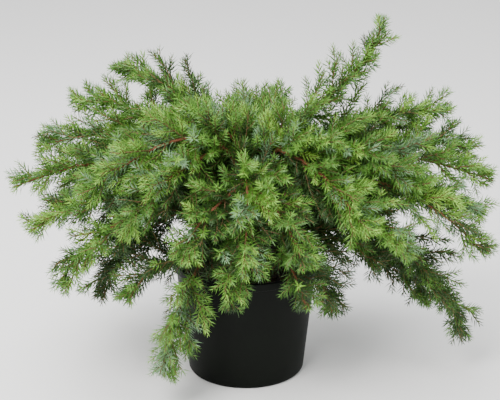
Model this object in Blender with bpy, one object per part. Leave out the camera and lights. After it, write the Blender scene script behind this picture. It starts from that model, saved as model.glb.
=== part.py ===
"""Creeping juniper in a round nursery pot, in metres, +Z up.

The origin is the centre of the pot's flat underside. The plant faces -Y. A short trunk stands in
the compost and carries the boughs, which arch out over the rim. Each mass of foliage is one stem
that runs on from its bough or from the trunk, with twigs and sprays of needles set on it by a
seeded rule. A spray is a toothed blade, folded along its middle. Every mass keeps to the space
nearer to its own stem than to any other stem.
"""

import math
import random
from typing import NamedTuple

import bmesh
import bpy
import numpy as np
from mathutils.bvhtree import BVHTree

# Gap between neighbouring solids
GAP = 0.0003
UP = np.array((0.0, 0.0, 1.0))
SAMPLE_STEP = 0.003
CURVE_POINTS = 60

# Pot
POT_HEIGHT = 0.150
POT_BASE_RADIUS = 0.0735
POT_TOP_RADIUS = 0.0900
POT_WALL = 0.0016
POT_FLOOR = 0.0025
POT_CORNER = 0.0045
RIM_HEIGHT = 0.011
RIM_PROUD = 0.0030
POT_SIDES = 36

# Compost
COMPOST_EDGE = 0.136
COMPOST_TOP = 0.140
COMPOST_FLAT = 0.030

# Trunk, from the compost to its tip inside the crown
TRUNK_TIP_HEIGHT = 0.268
TRUNK_RADIUS = 0.0078
TRUNK_TIP_RADIUS = 0.0042
FLARE_RADIUS = 0.0135
FLARE_HEIGHT = 0.012
FLARE_LOBES = 5
FLARE_LOBE_DEPTH = 0.0014
FLARE_FALL = 1.5
FLARE_LOBE_FADE = 8.0
TRUNK_LEAN = (0.006, 0.010)
TRUNK_SIDES = 10
TRUNK_RINGS = 11

# Limbs leave the trunk in the order of the table below, from the lowest to the highest
FIRST_LIMB_HEIGHT = 0.1570
LAST_LIMB_HEIGHT = 0.2620
BOUGH_RADIUS = 0.0033
BOUGH_TIP_RADIUS = 0.0023
BOUGH_SIDES = 6
FORK_ARCH = 0.36
ARRIVE_HANDLE = 0.42
FORK_BACK = 0.004
FORK_STEP = 0.010
FORK_LEAN = 52
FORK_NAMES = ("fork", "second_fork")
BOUGH_RING_STEP = 0.022

# Foliage
STEM_RADIUS = 0.0025
TWIG_RADIUS = 0.0019
TWIG_TIP_RADIUS = 0.0012
TWIG_SIDES = 3
STEM_RING_STEP = 0.036
TWIG_RING_STEP = 0.026
TWIG_LENGTH = 0.062
SHORTEST_TWIG = 0.032
TWIG_EVERY = 4
TWIG_SWEEP = 0.6
TWIG_FIRST_SPRAY = 0.45
TWIG_SPRAY_STEP = 0.40
TWIG_ROOT_RADIUS = 0.0010
SPRAY_SPACING = 0.0195
SPACING_SPREAD = (0.85, 1.15)
SPRAY_FIRST = 0.010
TRUNK_MASS_FIRST = 0.030
TIP_SINK = 0.004
LEAN_ROOT = math.radians(52)
LEAN_TIP = math.radians(28)
LEAN_SPREAD = math.radians(7)
SLEEVE_ROOT = 0.064
SLEEVE_TIP = 0.026
LIFTS = tuple(math.radians(lift) for lift in (12, 75, 8, -70))
STEEP_LIFT = math.radians(45)
LIFT_SPREAD = math.radians(11)

# Spray of needles
SPRAY_LENGTH = 0.088
SPRAY_WIDTH = 0.060
SPRAY_THICKNESS = 0.018
SPRAY_FOLD = 0.10
SPRAY_ROLL = math.radians(50)
SIZE_SPREAD = (0.90, 1.15)
TIP_SHRINK = 0.25
# Scale and share of the width of each try to fit a spray in
SPRAY_SIZES = ((1.0, 1.0), (0.86, 1.0), (0.9, 0.7), (0.7, 1.0), (0.7, 0.7), (0.56, 1.0), (0.48, 0.8))
TIP_SPRAY_SIZE = 0.55
TIP_SPRAY_REACH = TIP_SPRAY_SIZE * SPRAY_LENGTH
# Share of the length and of the half width at the end of each tooth and at the notch after it
TEETH = ((0.34, 0.94, 0.44, 0.58), (0.66, 1.00, 0.64, 0.54), (0.88, 0.66, 0.82, 0.36))
SPRAY_MIDDLE = 0.45

# The crown's rounded body, whose outward direction the sprays face
CROWN_CENTRE = np.array((0.0, 0.02, 0.17))
CROWN_RADII = np.array((0.30, 0.21, 0.17))
FACE_LIFT = 0.15

# Clearances of the foliage
CELL_MARGIN = 0.0012
LIMB_CLEARANCE = 0.0012
POT_CLEARANCE = 0.0030
LOWEST_FOLIAGE = 0.028


class Tip(NamedTuple):
    """Where a stem of foliage ends, and how steeply it drops there."""

    azimuth: float
    reach: float
    height: float
    droop: float


class Limb(NamedTuple):
    """One limb from the trunk: its slope there, its bare share, its arch, and its tips.

    The arch is the length of its first handle as a share of its span. The first tip is the limb's
    own. The others belong to stems that leave at the end of the bough. A limb with no bare share is
    all foliage, straight from the trunk.
    """

    name: str
    rise: float
    bare: float
    arch: float
    tips: tuple


# From the lowest on the trunk to the highest. Angles in degrees, reach and height in metres.
LIMBS = (
    Limb("right_weeping", 62, 0.42, 0.46, (Tip(356, 0.275, 0.047, 84), Tip(8, 0.235, 0.070, 80))),
    Limb("front_left_weeping", 66, 0.36, 0.46, (Tip(233, 0.165, 0.046, 84), Tip(217, 0.176, 0.132, 70))),
    Limb("back_right_low", 60, 0.38, 0.46, (Tip(44, 0.245, 0.110, 74), Tip(70, 0.222, 0.120, 70))),
    Limb("left_low", 60, 0.36, 0.46, (Tip(202, 0.247, 0.146, 62), Tip(187, 0.190, 0.106, 78))),
    Limb("front_right_weeping", 66, 0.36, 0.46, (
        Tip(321, 0.136, 0.105, 82), Tip(298, 0.152, 0.136, 72), Tip(339, 0.170, 0.156, 66))),
    Limb("back_left_low", 60, 0.38, 0.46, (Tip(138, 0.245, 0.110, 74), Tip(108, 0.225, 0.115, 70))),
    Limb("front_weeping", 72, 0.0, 0.50, (Tip(262, 0.148, 0.140, 76),)),
    Limb("right_low", 58, 0.32, 0.46, (
        Tip(346, 0.300, 0.178, 52), Tip(331, 0.230, 0.194, 52), Tip(353, 0.296, 0.214, 44))),
    Limb("left_spread", 50, 0.32, 0.46, (Tip(182, 0.290, 0.246, 22), Tip(193, 0.270, 0.206, 38))),
    Limb("right_spread", 52, 0.32, 0.46, (Tip(1, 0.308, 0.250, 20), Tip(9, 0.293, 0.268, 42))),
    Limb("back_upper", 74, 0.28, 0.50, (Tip(92, 0.222, 0.262, 34), Tip(118, 0.214, 0.310, 16))),
    Limb("left_back", 56, 0.32, 0.46, (Tip(160, 0.268, 0.180, 46), Tip(144, 0.262, 0.215, 36))),
    Limb("right_back", 54, 0.32, 0.44, (Tip(17, 0.276, 0.322, -4), Tip(34, 0.262, 0.226, 36))),
    Limb("front_upper", 82, 0.28, 0.62, (
        Tip(270, 0.152, 0.182, 66), Tip(243, 0.166, 0.200, 58), Tip(295, 0.160, 0.190, 62))),
    Limb("left_top", 60, 0.32, 0.46, (
        Tip(136, 0.232, 0.350, 6), Tip(154, 0.250, 0.320, 14), Tip(172, 0.266, 0.284, 18))),
    Limb("right_upper", 76, 0.26, 0.56, (Tip(344, 0.225, 0.262, 34), Tip(320, 0.190, 0.222, 50))),
    Limb("left_upper", 76, 0.26, 0.56, (Tip(204, 0.215, 0.258, 36), Tip(222, 0.195, 0.226, 50))),
    Limb("crown_back", 80, 0.0, 0.50, (Tip(70, 0.150, 0.312, 14),)),
    Limb("right_leader", 66, 0.34, 0.42, (Tip(13, 0.174, 0.450, -76),)),
    Limb("crown_top", 84, 0.0, 0.56, (Tip(186, 0.105, 0.322, 20),)),
)


def clear_scene() -> None:
    """Remove every object the file opened with."""
    for item in list(bpy.data.objects):
        bpy.data.objects.remove(item, do_unlink=True)


def make_material(name: str, colour: tuple, roughness: float) -> bpy.types.Material:
    """Return a plain material of one colour."""
    material = bpy.data.materials.new(name)
    material.use_nodes = True
    shader = material.node_tree.nodes["Principled BSDF"]
    shader.inputs["Base Color"].default_value = (*colour, 1.0)
    shader.inputs["Roughness"].default_value = roughness
    shader.inputs["Metallic"].default_value = 0.0
    material.diffuse_color = (*colour, 1.0)
    return material


def link_mesh(name: str, mesh: bpy.types.Mesh, material: bpy.types.Material) -> bpy.types.Object:
    """Add an object for a mesh to the scene, with one material."""
    item = bpy.data.objects.new(name, mesh)
    bpy.context.scene.collection.objects.link(item)
    mesh.materials.clear()
    mesh.materials.append(material)
    return item


def mesh_from(name: str, points: list, faces: list) -> bpy.types.Mesh:
    """Return a closed mesh whose faces point out."""
    shape = bmesh.new()
    corners = [shape.verts.new(point) for point in points]
    for face in faces:
        shape.faces.new([corners[index] for index in face])
    bmesh.ops.recalc_face_normals(shape, faces=shape.faces)
    bmesh.ops.triangulate(shape, faces=shape.faces)
    mesh = bpy.data.meshes.new(name)
    shape.to_mesh(mesh)
    shape.free()
    return mesh


class Path:
    """A smooth curve through the crown, read by distance along it."""

    def __init__(self, points: np.ndarray) -> None:
        self.points = np.asarray(points, dtype=float)
        steps = np.linalg.norm(np.diff(self.points, axis=0), axis=1)
        self.marks = np.concatenate(([0.0], np.cumsum(steps)))
        self.length = float(self.marks[-1])

    def at(self, distance: float) -> np.ndarray:
        """Return the point at a distance from the start."""
        return np.array([np.interp(distance, self.marks, self.points[:, axis]) for axis in range(3)])

    def heading(self, distance: float) -> np.ndarray:
        """Return the unit direction of travel at a distance from the start."""
        reach = 0.004
        ahead = self.at(min(distance + reach, self.length))
        behind = self.at(max(distance - reach, 0.0))
        return unit(ahead - behind)

    def part(self, start: float, end: float) -> "Path":
        """Return the stretch between two distances."""
        count = max(4, int((end - start) / SAMPLE_STEP) + 1)
        return Path([self.at(mark) for mark in np.linspace(start, end, count)])


def unit(vector: np.ndarray) -> np.ndarray:
    """Return the vector at length one."""
    return vector / np.linalg.norm(vector)


def bezier(first, second, third, last, count: int = CURVE_POINTS) -> Path:
    """Return a cubic curve with two end points and two handles."""
    share = np.linspace(0.0, 1.0, count)[:, None]
    rest = 1.0 - share
    corners = [np.asarray(corner, dtype=float) for corner in (first, second, third, last)]
    points = (
        rest**3 * corners[0]
        + 3 * rest**2 * share * corners[1]
        + 3 * rest * share**2 * corners[2]
        + share**3 * corners[3]
    )
    return Path(points)


def frames_along(path: Path, marks: list, twist: float) -> list:
    """Return side directions at each mark, turned a little further at every one.

    The first direction is square to the path, and it is carried along without needless roll.
    """
    heading = path.heading(marks[0])
    side = unit(np.cross(heading, (0.31, 0.17, 0.93)))
    sides = []
    for index, mark in enumerate(marks):
        heading = path.heading(mark)
        side = unit(side - heading * float(side @ heading))
        other = np.cross(heading, side)
        turn = twist * index
        sides.append((side * math.cos(turn) + other * math.sin(turn), heading))
    return sides


def tube_mesh(name: str, path: Path, radius_at, sides: int, rings: int) -> bpy.types.Mesh:
    """Return a tapering limb with flat ends.

    radius_at takes the share of the length and the angle round the limb.
    """
    marks = list(np.linspace(0.0, path.length, rings))
    points = []
    for mark, (side, heading) in zip(marks, frames_along(path, marks, 0.0)):
        other = np.cross(heading, side)
        for index in range(sides):
            angle = 2 * math.pi * index / sides
            radius = radius_at(mark / path.length, angle)
            points.append(path.at(mark) + radius * (side * math.cos(angle) + other * math.sin(angle)))
    faces = [list(range(sides))]
    for ring in range(rings - 1):
        for index in range(sides):
            following = (index + 1) % sides
            low = ring * sides
            faces.append([low + index, low + following, low + sides + following, low + sides + index])
    faces.append(list(range((rings - 1) * sides, rings * sides)))
    return mesh_from(name, points, faces)


def turned_mesh(name: str, profile: list) -> bpy.types.Mesh:
    """Return a profile of radius and height turned round the pot's axis, closed at both ends."""
    points = []
    faces = []
    for radius, height in profile:
        for index in range(POT_SIDES):
            angle = 2 * math.pi * index / POT_SIDES
            points.append((radius * math.cos(angle), radius * math.sin(angle), height))
    for ring in range(len(profile) - 1):
        for index in range(POT_SIDES):
            following = (index + 1) % POT_SIDES
            low = ring * POT_SIDES
            high = low + POT_SIDES
            faces.append([low + index, low + following, high + following, high + index])
    faces.append(list(range(POT_SIDES)))
    faces.append(list(range((len(profile) - 1) * POT_SIDES, len(profile) * POT_SIDES)))
    return mesh_from(name, points, faces)


def pot_radius(height: float) -> float:
    """Return the radius of the pot's outer wall at a height."""
    share = min(max(height / POT_HEIGHT, 0.0), 1.0)
    return POT_BASE_RADIUS + (POT_TOP_RADIUS - POT_BASE_RADIUS) * share


def make_pot(material: bpy.types.Material) -> None:
    """Make the tapered pot with its soft foot, its wall and the band under its rim."""
    profile = []
    for step in range(4):
        angle = math.pi / 2 * step / 3
        radius = pot_radius(0.0) - POT_CORNER * (1 - math.sin(angle))
        profile.append((radius, POT_CORNER * (1 - math.cos(angle))))
    band = POT_HEIGHT - RIM_HEIGHT
    profile.append((pot_radius(band), band))
    profile.append((pot_radius(band) + RIM_PROUD, band + RIM_PROUD / 2))
    profile.append((POT_TOP_RADIUS + RIM_PROUD, POT_HEIGHT - 0.001))
    profile.append((POT_TOP_RADIUS + RIM_PROUD - 0.001, POT_HEIGHT))
    profile.append((POT_TOP_RADIUS - POT_WALL, POT_HEIGHT))
    profile.append((pot_radius(POT_FLOOR) - POT_WALL, POT_FLOOR))
    pot = link_mesh("pot", turned_mesh("pot", profile), material)
    pot.data.shade_smooth()
    pot.data.set_sharp_from_angle(angle=math.radians(40))


def make_compost(material: bpy.types.Material) -> None:
    """Make the plug of compost, a gap clear of the pot, level where the trunk stands on it."""
    clear = POT_WALL + GAP / math.cos(math.pi / POT_SIDES) + GAP
    profile = [
        (pot_radius(POT_FLOOR) - clear, POT_FLOOR + GAP),
        (pot_radius(COMPOST_EDGE) - clear, COMPOST_EDGE),
        (COMPOST_FLAT, COMPOST_TOP),
    ]
    link_mesh("compost", turned_mesh("compost", profile), material)


def trunk_path() -> Path:
    """Return the trunk's centre line, from its flat foot on the compost to its tip."""
    foot = COMPOST_TOP + GAP
    lean_x, lean_y = TRUNK_LEAN
    middle = (foot + TRUNK_TIP_HEIGHT) / 2
    return bezier(
        (0.0, 0.0, foot),
        (0.0, 0.0, middle),
        (lean_x * 0.4, lean_y * 0.4, middle),
        (lean_x, lean_y, TRUNK_TIP_HEIGHT),
    )


def trunk_radius(share: float) -> float:
    """Return the trunk's radius at a share of its length, with the flare at its foot."""
    height = share * (TRUNK_TIP_HEIGHT - COMPOST_TOP)
    flare = (FLARE_RADIUS - TRUNK_RADIUS) * math.exp(-((height / FLARE_HEIGHT) ** FLARE_FALL))
    return TRUNK_RADIUS + (TRUNK_TIP_RADIUS - TRUNK_RADIUS) * share + flare


def make_trunk(material: bpy.types.Material) -> None:
    """Make the trunk, lobed at the foot where the root flare shows."""

    def radius_at(share: float, angle: float) -> float:
        fade = math.exp(-share * FLARE_LOBE_FADE)
        return trunk_radius(share) + FLARE_LOBE_DEPTH * fade * math.cos(FLARE_LOBES * angle)

    mesh = tube_mesh("trunk", trunk_path(), radius_at, TRUNK_SIDES, TRUNK_RINGS)
    trunk = link_mesh("trunk", mesh, material)
    trunk.data.shade_smooth()


def outward(azimuth: float) -> np.ndarray:
    """Return the level direction at an azimuth in degrees."""
    return np.array((math.cos(math.radians(azimuth)), math.sin(math.radians(azimuth)), 0.0))


def reach_tip(root: np.ndarray, leave: np.ndarray, arch: float, tip: Tip) -> Path:
    """Return a centre line from a root, in the direction it leaves, to a tip."""
    far = outward(tip.azimuth)
    end = far * tip.reach + UP * tip.height
    droop = math.radians(tip.droop)
    arrive = far * math.cos(droop) - UP * math.sin(droop)
    span = float(np.linalg.norm(end - root))
    return bezier(root, root + leave * span * arch, end - arrive * span * ARRIVE_HANDLE, end)


def limb_path(limb: Limb, rank: float) -> Path:
    """Return a limb's centre line from the trunk's side to its own tip.

    Args: rank is the limb's place up the trunk, from 0 to 1.
    """
    trunk = trunk_path()
    height = FIRST_LIMB_HEIGHT + (LAST_LIMB_HEIGHT - FIRST_LIMB_HEIGHT) * rank
    share = (height - COMPOST_TOP) / (TRUNK_TIP_HEIGHT - COMPOST_TOP)
    out = outward(limb.tips[0].azimuth)
    rise = math.radians(limb.rise)
    stand = trunk_radius(share) + BOUGH_RADIUS * math.sin(rise) + 2 * GAP
    root = trunk.at(share * trunk.length) + out * stand
    return reach_tip(root, out * math.cos(rise) + UP * math.sin(rise), limb.arch, limb.tips[0])


def bough_radius(share: float) -> float:
    """Return a bough's radius at a share of its length."""
    return BOUGH_RADIUS + (BOUGH_TIP_RADIUS - BOUGH_RADIUS) * share


def fork_path(bough: Path, tip: Tip, place: int) -> Path:
    """Return the centre line of a stem that leaves the side of a bough near its end.

    Args: place is 0 for the stem nearest to the bough's end, and 1 for the one behind it.
    """
    fork = bough.length - FORK_BACK - FORK_STEP * place
    heading = bough.heading(fork)
    towards = outward(tip.azimuth) * tip.reach + UP * tip.height - bough.at(fork)
    side = unit(towards - heading * float(towards @ heading))
    lean = math.radians(FORK_LEAN)
    stand = bough_radius(fork / bough.length) + STEM_RADIUS * math.cos(lean) + 2 * GAP
    leave = heading * math.cos(lean) + side * math.sin(lean)
    return reach_tip(bough.at(fork) + side * stand, leave, FORK_ARCH, tip)


class Crown:
    """All limbs and stems, which every twig and spray is tested against."""

    def __init__(self) -> None:
        self.boughs = {}
        self.stems = {}
        self.firsts = {}
        last = len(LIMBS) - 1
        for index, limb in enumerate(LIMBS):
            path = limb_path(limb, index / last)
            split = limb.bare * path.length
            self.firsts[limb.name] = TRUNK_MASS_FIRST
            if limb.bare > 0:
                self.boughs[limb.name] = path.part(0.0, split)
                self.firsts[limb.name] = SPRAY_FIRST
                split += GAP
            self.stems[limb.name] = path.part(split, path.length - TIP_SPRAY_REACH)
            for place, tip in enumerate(limb.tips[1:]):
                name = f"{limb.name}_{FORK_NAMES[place]}"
                side = fork_path(self.boughs[limb.name], tip, place)
                self.stems[name] = side.part(0.0, side.length - TIP_SPRAY_REACH)
                self.firsts[name] = SPRAY_FIRST
        samples = []
        owners = []
        sleeves = []
        for owner, stem in enumerate(self.stems.values()):
            marks = np.arange(0.0, stem.length, SAMPLE_STEP)
            samples.extend(stem.at(mark) for mark in marks)
            owners.extend([owner] * len(marks))
            sleeves.extend(SLEEVE_ROOT + (SLEEVE_TIP - SLEEVE_ROOT) * marks / stem.length)
        self.samples = np.array(samples)
        self.sleeves = np.array(sleeves)
        self.owners = np.array(owners)
        solids = []
        radii = []
        for bough in self.boughs.values():
            for mark in np.arange(0.0, bough.length, SAMPLE_STEP):
                solids.append(bough.at(mark))
                radii.append(bough_radius(mark / bough.length))
        trunk = trunk_path()
        for mark in np.arange(0.0, trunk.length, SAMPLE_STEP):
            solids.append(trunk.at(mark))
            radii.append(trunk_radius(mark / trunk.length) + FLARE_LOBE_DEPTH)
        self.solids = np.array(solids)
        self.radii = np.array(radii)

    def allows(self, owner: int, point: np.ndarray, margin: float, clearance: float, sleeve: bool) -> bool:
        """Tell whether a point lies in a stem's own space and clear of limbs, pot and ground."""
        if point[2] < LOWEST_FOLIAGE:
            return False
        if point[2] < POT_HEIGHT + POT_CLEARANCE:
            if math.hypot(point[0], point[1]) < pot_radius(point[2]) + RIM_PROUD + POT_CLEARANCE:
                return False
        if np.min(np.linalg.norm(self.solids - point, axis=1) - self.radii) < clearance:
            return False
        gaps = np.linalg.norm(self.samples - point, axis=1)
        own = self.owners == owner
        mine = int(np.argmin(np.where(own, gaps, np.inf)))
        if sleeve and gaps[mine] > self.sleeves[mine]:
            return False
        other = int(np.argmin(np.where(own, np.inf, gaps)))
        between = float(np.linalg.norm(self.samples[mine] - self.samples[other]))
        return (gaps[other] ** 2 - gaps[mine] ** 2) / (2 * between) > margin


def twig_mesh(path: Path, root_radius: float, ring_step: float, sunk: bool) -> bpy.types.Mesh:
    """Return a bare three-sided twig or stem that tapers to its tip.

    The root of a sunk one is thin enough to end inside the twig that carries it.
    """

    def radius_at(share: float, angle: float) -> float:
        if sunk and share == 0.0:
            return TWIG_ROOT_RADIUS
        return root_radius + (TWIG_TIP_RADIUS - root_radius) * share

    rings = max(2, round(path.length / ring_step) + 1)
    return tube_mesh("twig", path, radius_at, TWIG_SIDES, rings)


def spray_points(root: np.ndarray, along: np.ndarray, across: np.ndarray, size: float) -> list:
    """Return a spray's corners: its outline from the root round to the root, then its two middles."""
    above = unit(np.cross(along, across))
    length = SPRAY_LENGTH * size
    half = SPRAY_WIDTH * size / 2
    thick = SPRAY_THICKNESS * size

    def corner(share: float, out: float, lift: float) -> np.ndarray:
        return root + along * share * length + across * out + above * (lift - abs(out) * SPRAY_FOLD)

    one_side = []
    for tooth, tooth_out, notch, notch_out in TEETH:
        one_side.append((tooth, tooth_out * half))
        one_side.append((notch, notch_out * half))
    outline = [root]
    outline.extend(corner(share, out, 0.0) for share, out in one_side)
    outline.append(corner(1.0, 0.0, 0.0))
    outline.extend(corner(share, -out, 0.0) for share, out in reversed(one_side))
    middles = [corner(SPRAY_MIDDLE, 0.0, lift) for lift in (thick / 2, -thick / 2)]
    return outline + middles


def spray_faces(count: int) -> list:
    """Return the faces of a spray of so many corners, as two fans that share the outline."""
    around = count - 2
    faces = []
    for index in range(around):
        following = (index + 1) % around
        faces.append([index, following, count - 2])
        faces.append([following, index, count - 1])
    return faces


class Mass:
    """One mass of foliage as it grows: the twigs and sprays that found room so far."""

    def __init__(self, crown: Crown, owner: int, name: str) -> None:
        self.crown = crown
        self.owner = owner
        self.draw = random.Random(name)
        self.stem = crown.stems[name]
        self.meshes = []
        self.trees = []

    def allows(self, point: np.ndarray, clearance: float = 0.0, sleeve: bool = True) -> bool:
        """Tell whether a point lies in this mass's space, and in its sleeve round the stem."""
        margin = CELL_MARGIN + clearance
        return self.crown.allows(self.owner, point, margin, LIMB_CLEARANCE + clearance, sleeve)

    def add_spray(
        self, root: np.ndarray, along: np.ndarray, face: np.ndarray, size: float, sleeve: bool
    ) -> bool:
        """Add a spray that faces a direction, at the largest size that fits, and tell if one did."""
        across = unit(np.cross(face, along))
        for shrink, narrow in SPRAY_SIZES:
            points = spray_points(root, along, across * narrow, size * shrink)
            if not all(self.allows(point, sleeve=sleeve) for point in points[1:]):
                continue
            faces = spray_faces(len(points))
            tree = BVHTree.FromPolygons([tuple(point) for point in points], faces)
            if any(tree.overlap(other) for other in self.trees):
                continue
            self.trees.append(tree)
            self.meshes.append(mesh_from("spray", points, faces))
            return True
        return False

    def dress(self, path: Path, first: float, spacing: float, twigs: bool) -> None:
        """Set sprays along a path, left and right in turn, with some that stand out of the crown.

        At every few places a twig with sprays of its own takes the place of a spray.
        """
        end = path.at(path.length)
        heading = path.heading(path.length)
        self.add_spray(end - heading * TIP_SINK, heading, crown_face(end, heading), TIP_SPRAY_SIZE, False)
        mark = first
        hand = self.draw.choice((-1.0, 1.0))
        place = 1
        while mark < path.length - SPRAY_SPACING / 3:
            share = mark / path.length
            heading = path.heading(mark)
            face = crown_face(path.at(mark), heading)
            lean = LEAN_ROOT + (LEAN_TIP - LEAN_ROOT) * share + self.draw.uniform(-LEAN_SPREAD, LEAN_SPREAD)
            roll = self.draw.uniform(-SPRAY_ROLL, SPRAY_ROLL)
            size = (1.0 - TIP_SHRINK * share) * self.draw.uniform(*SIZE_SPREAD)
            if twigs and place % TWIG_EVERY == 0:
                side = np.cross(face, heading) * hand
                self.add_twig(path.at(mark), heading * math.cos(lean) + side * math.sin(lean), heading)
            for attempt in range(len(LIFTS)):
                lift = LIFTS[(place + attempt) % len(LIFTS)]
                lift += self.draw.uniform(-LIFT_SPREAD, LIFT_SPREAD)
                side = np.cross(face, heading) * hand
                out = side * math.cos(lift) + face * math.sin(lift)
                along = heading * math.cos(lean) + out * math.sin(lean)
                seen = side if abs(lift) > STEEP_LIFT else face
                seen = unit(seen - along * float(seen @ along))
                seen = seen * math.cos(roll) + np.cross(along, seen) * math.sin(roll)
                hand = -hand
                if self.add_spray(path.at(mark), along, seen, size, True):
                    break
            mark += spacing * self.draw.uniform(*SPACING_SPREAD)
            place += 1

    def add_twig(self, root: np.ndarray, along: np.ndarray, heading: np.ndarray) -> None:
        """Add a side twig with its own sprays, as long as its space lets it grow."""
        arrive = unit(along + heading * TWIG_SWEEP)
        tip = root + unit(along + arrive) * TWIG_LENGTH
        handle = TWIG_LENGTH * ARRIVE_HANDLE
        whole = bezier(root, root + along * handle, tip - arrive * handle, tip)
        reach = 0.0
        for mark in np.arange(2 * SAMPLE_STEP, whole.length, SAMPLE_STEP):
            if not self.allows(whole.at(mark), TWIG_RADIUS):
                break
            reach = float(mark)
        if reach < SHORTEST_TWIG:
            return
        twig = whole.part(0.0, reach)
        self.meshes.append(twig_mesh(twig, TWIG_RADIUS, TWIG_RING_STEP, True))
        self.dress(twig, twig.length * TWIG_FIRST_SPRAY, twig.length * TWIG_SPRAY_STEP, False)


def crown_face(point: np.ndarray, heading: np.ndarray) -> np.ndarray:
    """Return the direction out of the crown at a point, square to a heading."""
    out = (point - CROWN_CENTRE) / CROWN_RADII**2
    out = unit(out) + UP * FACE_LIFT
    return unit(out - heading * float(out @ heading))


def join_parts(name: str, stem: bpy.types.Mesh, parts: list, material: bpy.types.Material) -> None:
    """Fuse twigs and sprays onto the stem as one body, and keep nothing loose or hollow."""
    item = link_mesh(name, stem, material)
    helpers = bpy.data.collections.new(name + "_parts")
    bpy.context.scene.collection.children.link(helpers)
    for index, part in enumerate(parts):
        helpers.objects.link(bpy.data.objects.new(f"{name}_part_{index}", part))
    joint = item.modifiers.new("fuse", "BOOLEAN")
    joint.operation = "UNION"
    joint.operand_type = "COLLECTION"
    joint.collection = helpers
    joint.solver = "EXACT"
    bpy.context.view_layer.update()
    seen = item.evaluated_get(bpy.context.evaluated_depsgraph_get())
    fused = bpy.data.meshes.new_from_object(seen)
    item.modifiers.remove(joint)
    item.data = fused
    for helper in list(helpers.objects):
        bpy.data.objects.remove(helper, do_unlink=True)
    bpy.data.collections.remove(helpers)
    keep_one_body(fused)


def keep_one_body(mesh: bpy.types.Mesh) -> None:
    """Keep the largest connected shell of a mesh, as triangles."""
    shape = bmesh.new()
    shape.from_mesh(mesh)
    bmesh.ops.triangulate(shape, faces=shape.faces)
    left = set(shape.verts)
    shells = []
    while left:
        reached = [left.pop()]
        shell = set(reached)
        while reached:
            corner = reached.pop()
            for edge in corner.link_edges:
                other = edge.other_vert(corner)
                if other not in shell:
                    shell.add(other)
                    left.discard(other)
                    reached.append(other)
        shells.append(shell)
    shells.sort(key=len)
    for shell in shells[:-1]:
        bmesh.ops.delete(shape, geom=list(shell), context="VERTS")
    shape.to_mesh(mesh)
    shape.free()


def make_bough(name: str, path: Path, material: bpy.types.Material) -> None:
    """Make one bare limb that tapers to where its foliage starts."""

    def radius_at(share: float, angle: float) -> float:
        return bough_radius(share)

    rings = max(3, round(path.length / BOUGH_RING_STEP) + 1)
    mesh = tube_mesh(name, path, radius_at, BOUGH_SIDES, rings)
    bough = link_mesh("bough_" + name, mesh, material)
    bough.data.shade_smooth()


def make_foliage(crown: Crown, owner: int, name: str, material: bpy.types.Material) -> None:
    """Make one mass: its stem, and the twigs and sprays that stay in its own space."""
    mass = Mass(crown, owner, name)
    mass.dress(mass.stem, crown.firsts[name], SPRAY_SPACING, True)
    body = twig_mesh(mass.stem, STEM_RADIUS, STEM_RING_STEP, False)
    join_parts("foliage_" + name, body, mass.meshes, material)


def main() -> None:
    """Build the pot, its filling and the whole plant."""
    clear_scene()
    plastic = make_material("black_pot_plastic", (0.012, 0.014, 0.012), 0.55)
    peat = make_material("moist_compost", (0.055, 0.032, 0.020), 0.95)
    bark = make_material("red_brown_bark", (0.20, 0.065, 0.030), 0.75)
    make_pot(plastic)
    make_compost(peat)
    make_trunk(bark)
    crown = Crown()
    for name, path in crown.boughs.items():
        make_bough(name, path, bark)
    for owner, name in enumerate(crown.stems):
        shade = 0.85 + 0.3 * random.Random(name).random()
        green = make_material("needles_" + name, (0.085 * shade, 0.150 * shade, 0.040 * shade), 0.6)
        make_foliage(crown, owner, name, green)


main()
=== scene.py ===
"""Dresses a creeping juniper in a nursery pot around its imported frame, in metres, +Z up.

The plant grows again by the rule of its solids. The same limbs leave the same trunk, and each mass
of foliage is carried on from its stem to finer twigs and shoots, which bear needles in whorls of
three. The pot, the compost and the bark have meshes of their own.
"""

import logging
import math
import random
from dataclasses import dataclass
from enum import Enum

import bmesh
import bpy
import numpy as np
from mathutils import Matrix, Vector, noise


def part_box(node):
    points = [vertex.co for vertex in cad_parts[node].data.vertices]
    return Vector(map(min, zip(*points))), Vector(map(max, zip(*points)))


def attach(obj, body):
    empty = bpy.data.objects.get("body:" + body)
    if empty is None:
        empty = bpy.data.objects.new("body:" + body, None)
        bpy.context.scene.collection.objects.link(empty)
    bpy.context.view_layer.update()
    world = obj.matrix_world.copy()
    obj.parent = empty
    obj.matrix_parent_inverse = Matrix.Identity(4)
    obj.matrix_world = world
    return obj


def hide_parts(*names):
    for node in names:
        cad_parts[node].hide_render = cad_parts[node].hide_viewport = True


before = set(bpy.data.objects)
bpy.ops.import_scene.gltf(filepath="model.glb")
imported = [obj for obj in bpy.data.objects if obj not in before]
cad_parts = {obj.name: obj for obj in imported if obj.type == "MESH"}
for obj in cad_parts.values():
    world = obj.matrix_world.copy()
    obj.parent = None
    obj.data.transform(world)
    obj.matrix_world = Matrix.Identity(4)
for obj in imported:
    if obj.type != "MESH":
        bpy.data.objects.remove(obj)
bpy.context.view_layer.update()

LOG = logging.getLogger("juniper")
Colour = tuple[float, float, float]

BODY = "root"
GAP = 0.0003
UP = np.array((0.0, 0.0, 1.0))
CURVE_POINTS = 60
FEWEST_POINTS = 4
HEADING_REACH = 0.004
MOTTLE_DETAIL = 6.0
MOTTLE_ROUGHNESS = 0.6

# The crown's rounded body, whose outward direction the foliage faces
CROWN_CENTRE = np.array((0.0, 0.02, 0.17))
CROWN_RADII = np.array((0.30, 0.21, 0.17))
FACE_LIFT = 0.15


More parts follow.
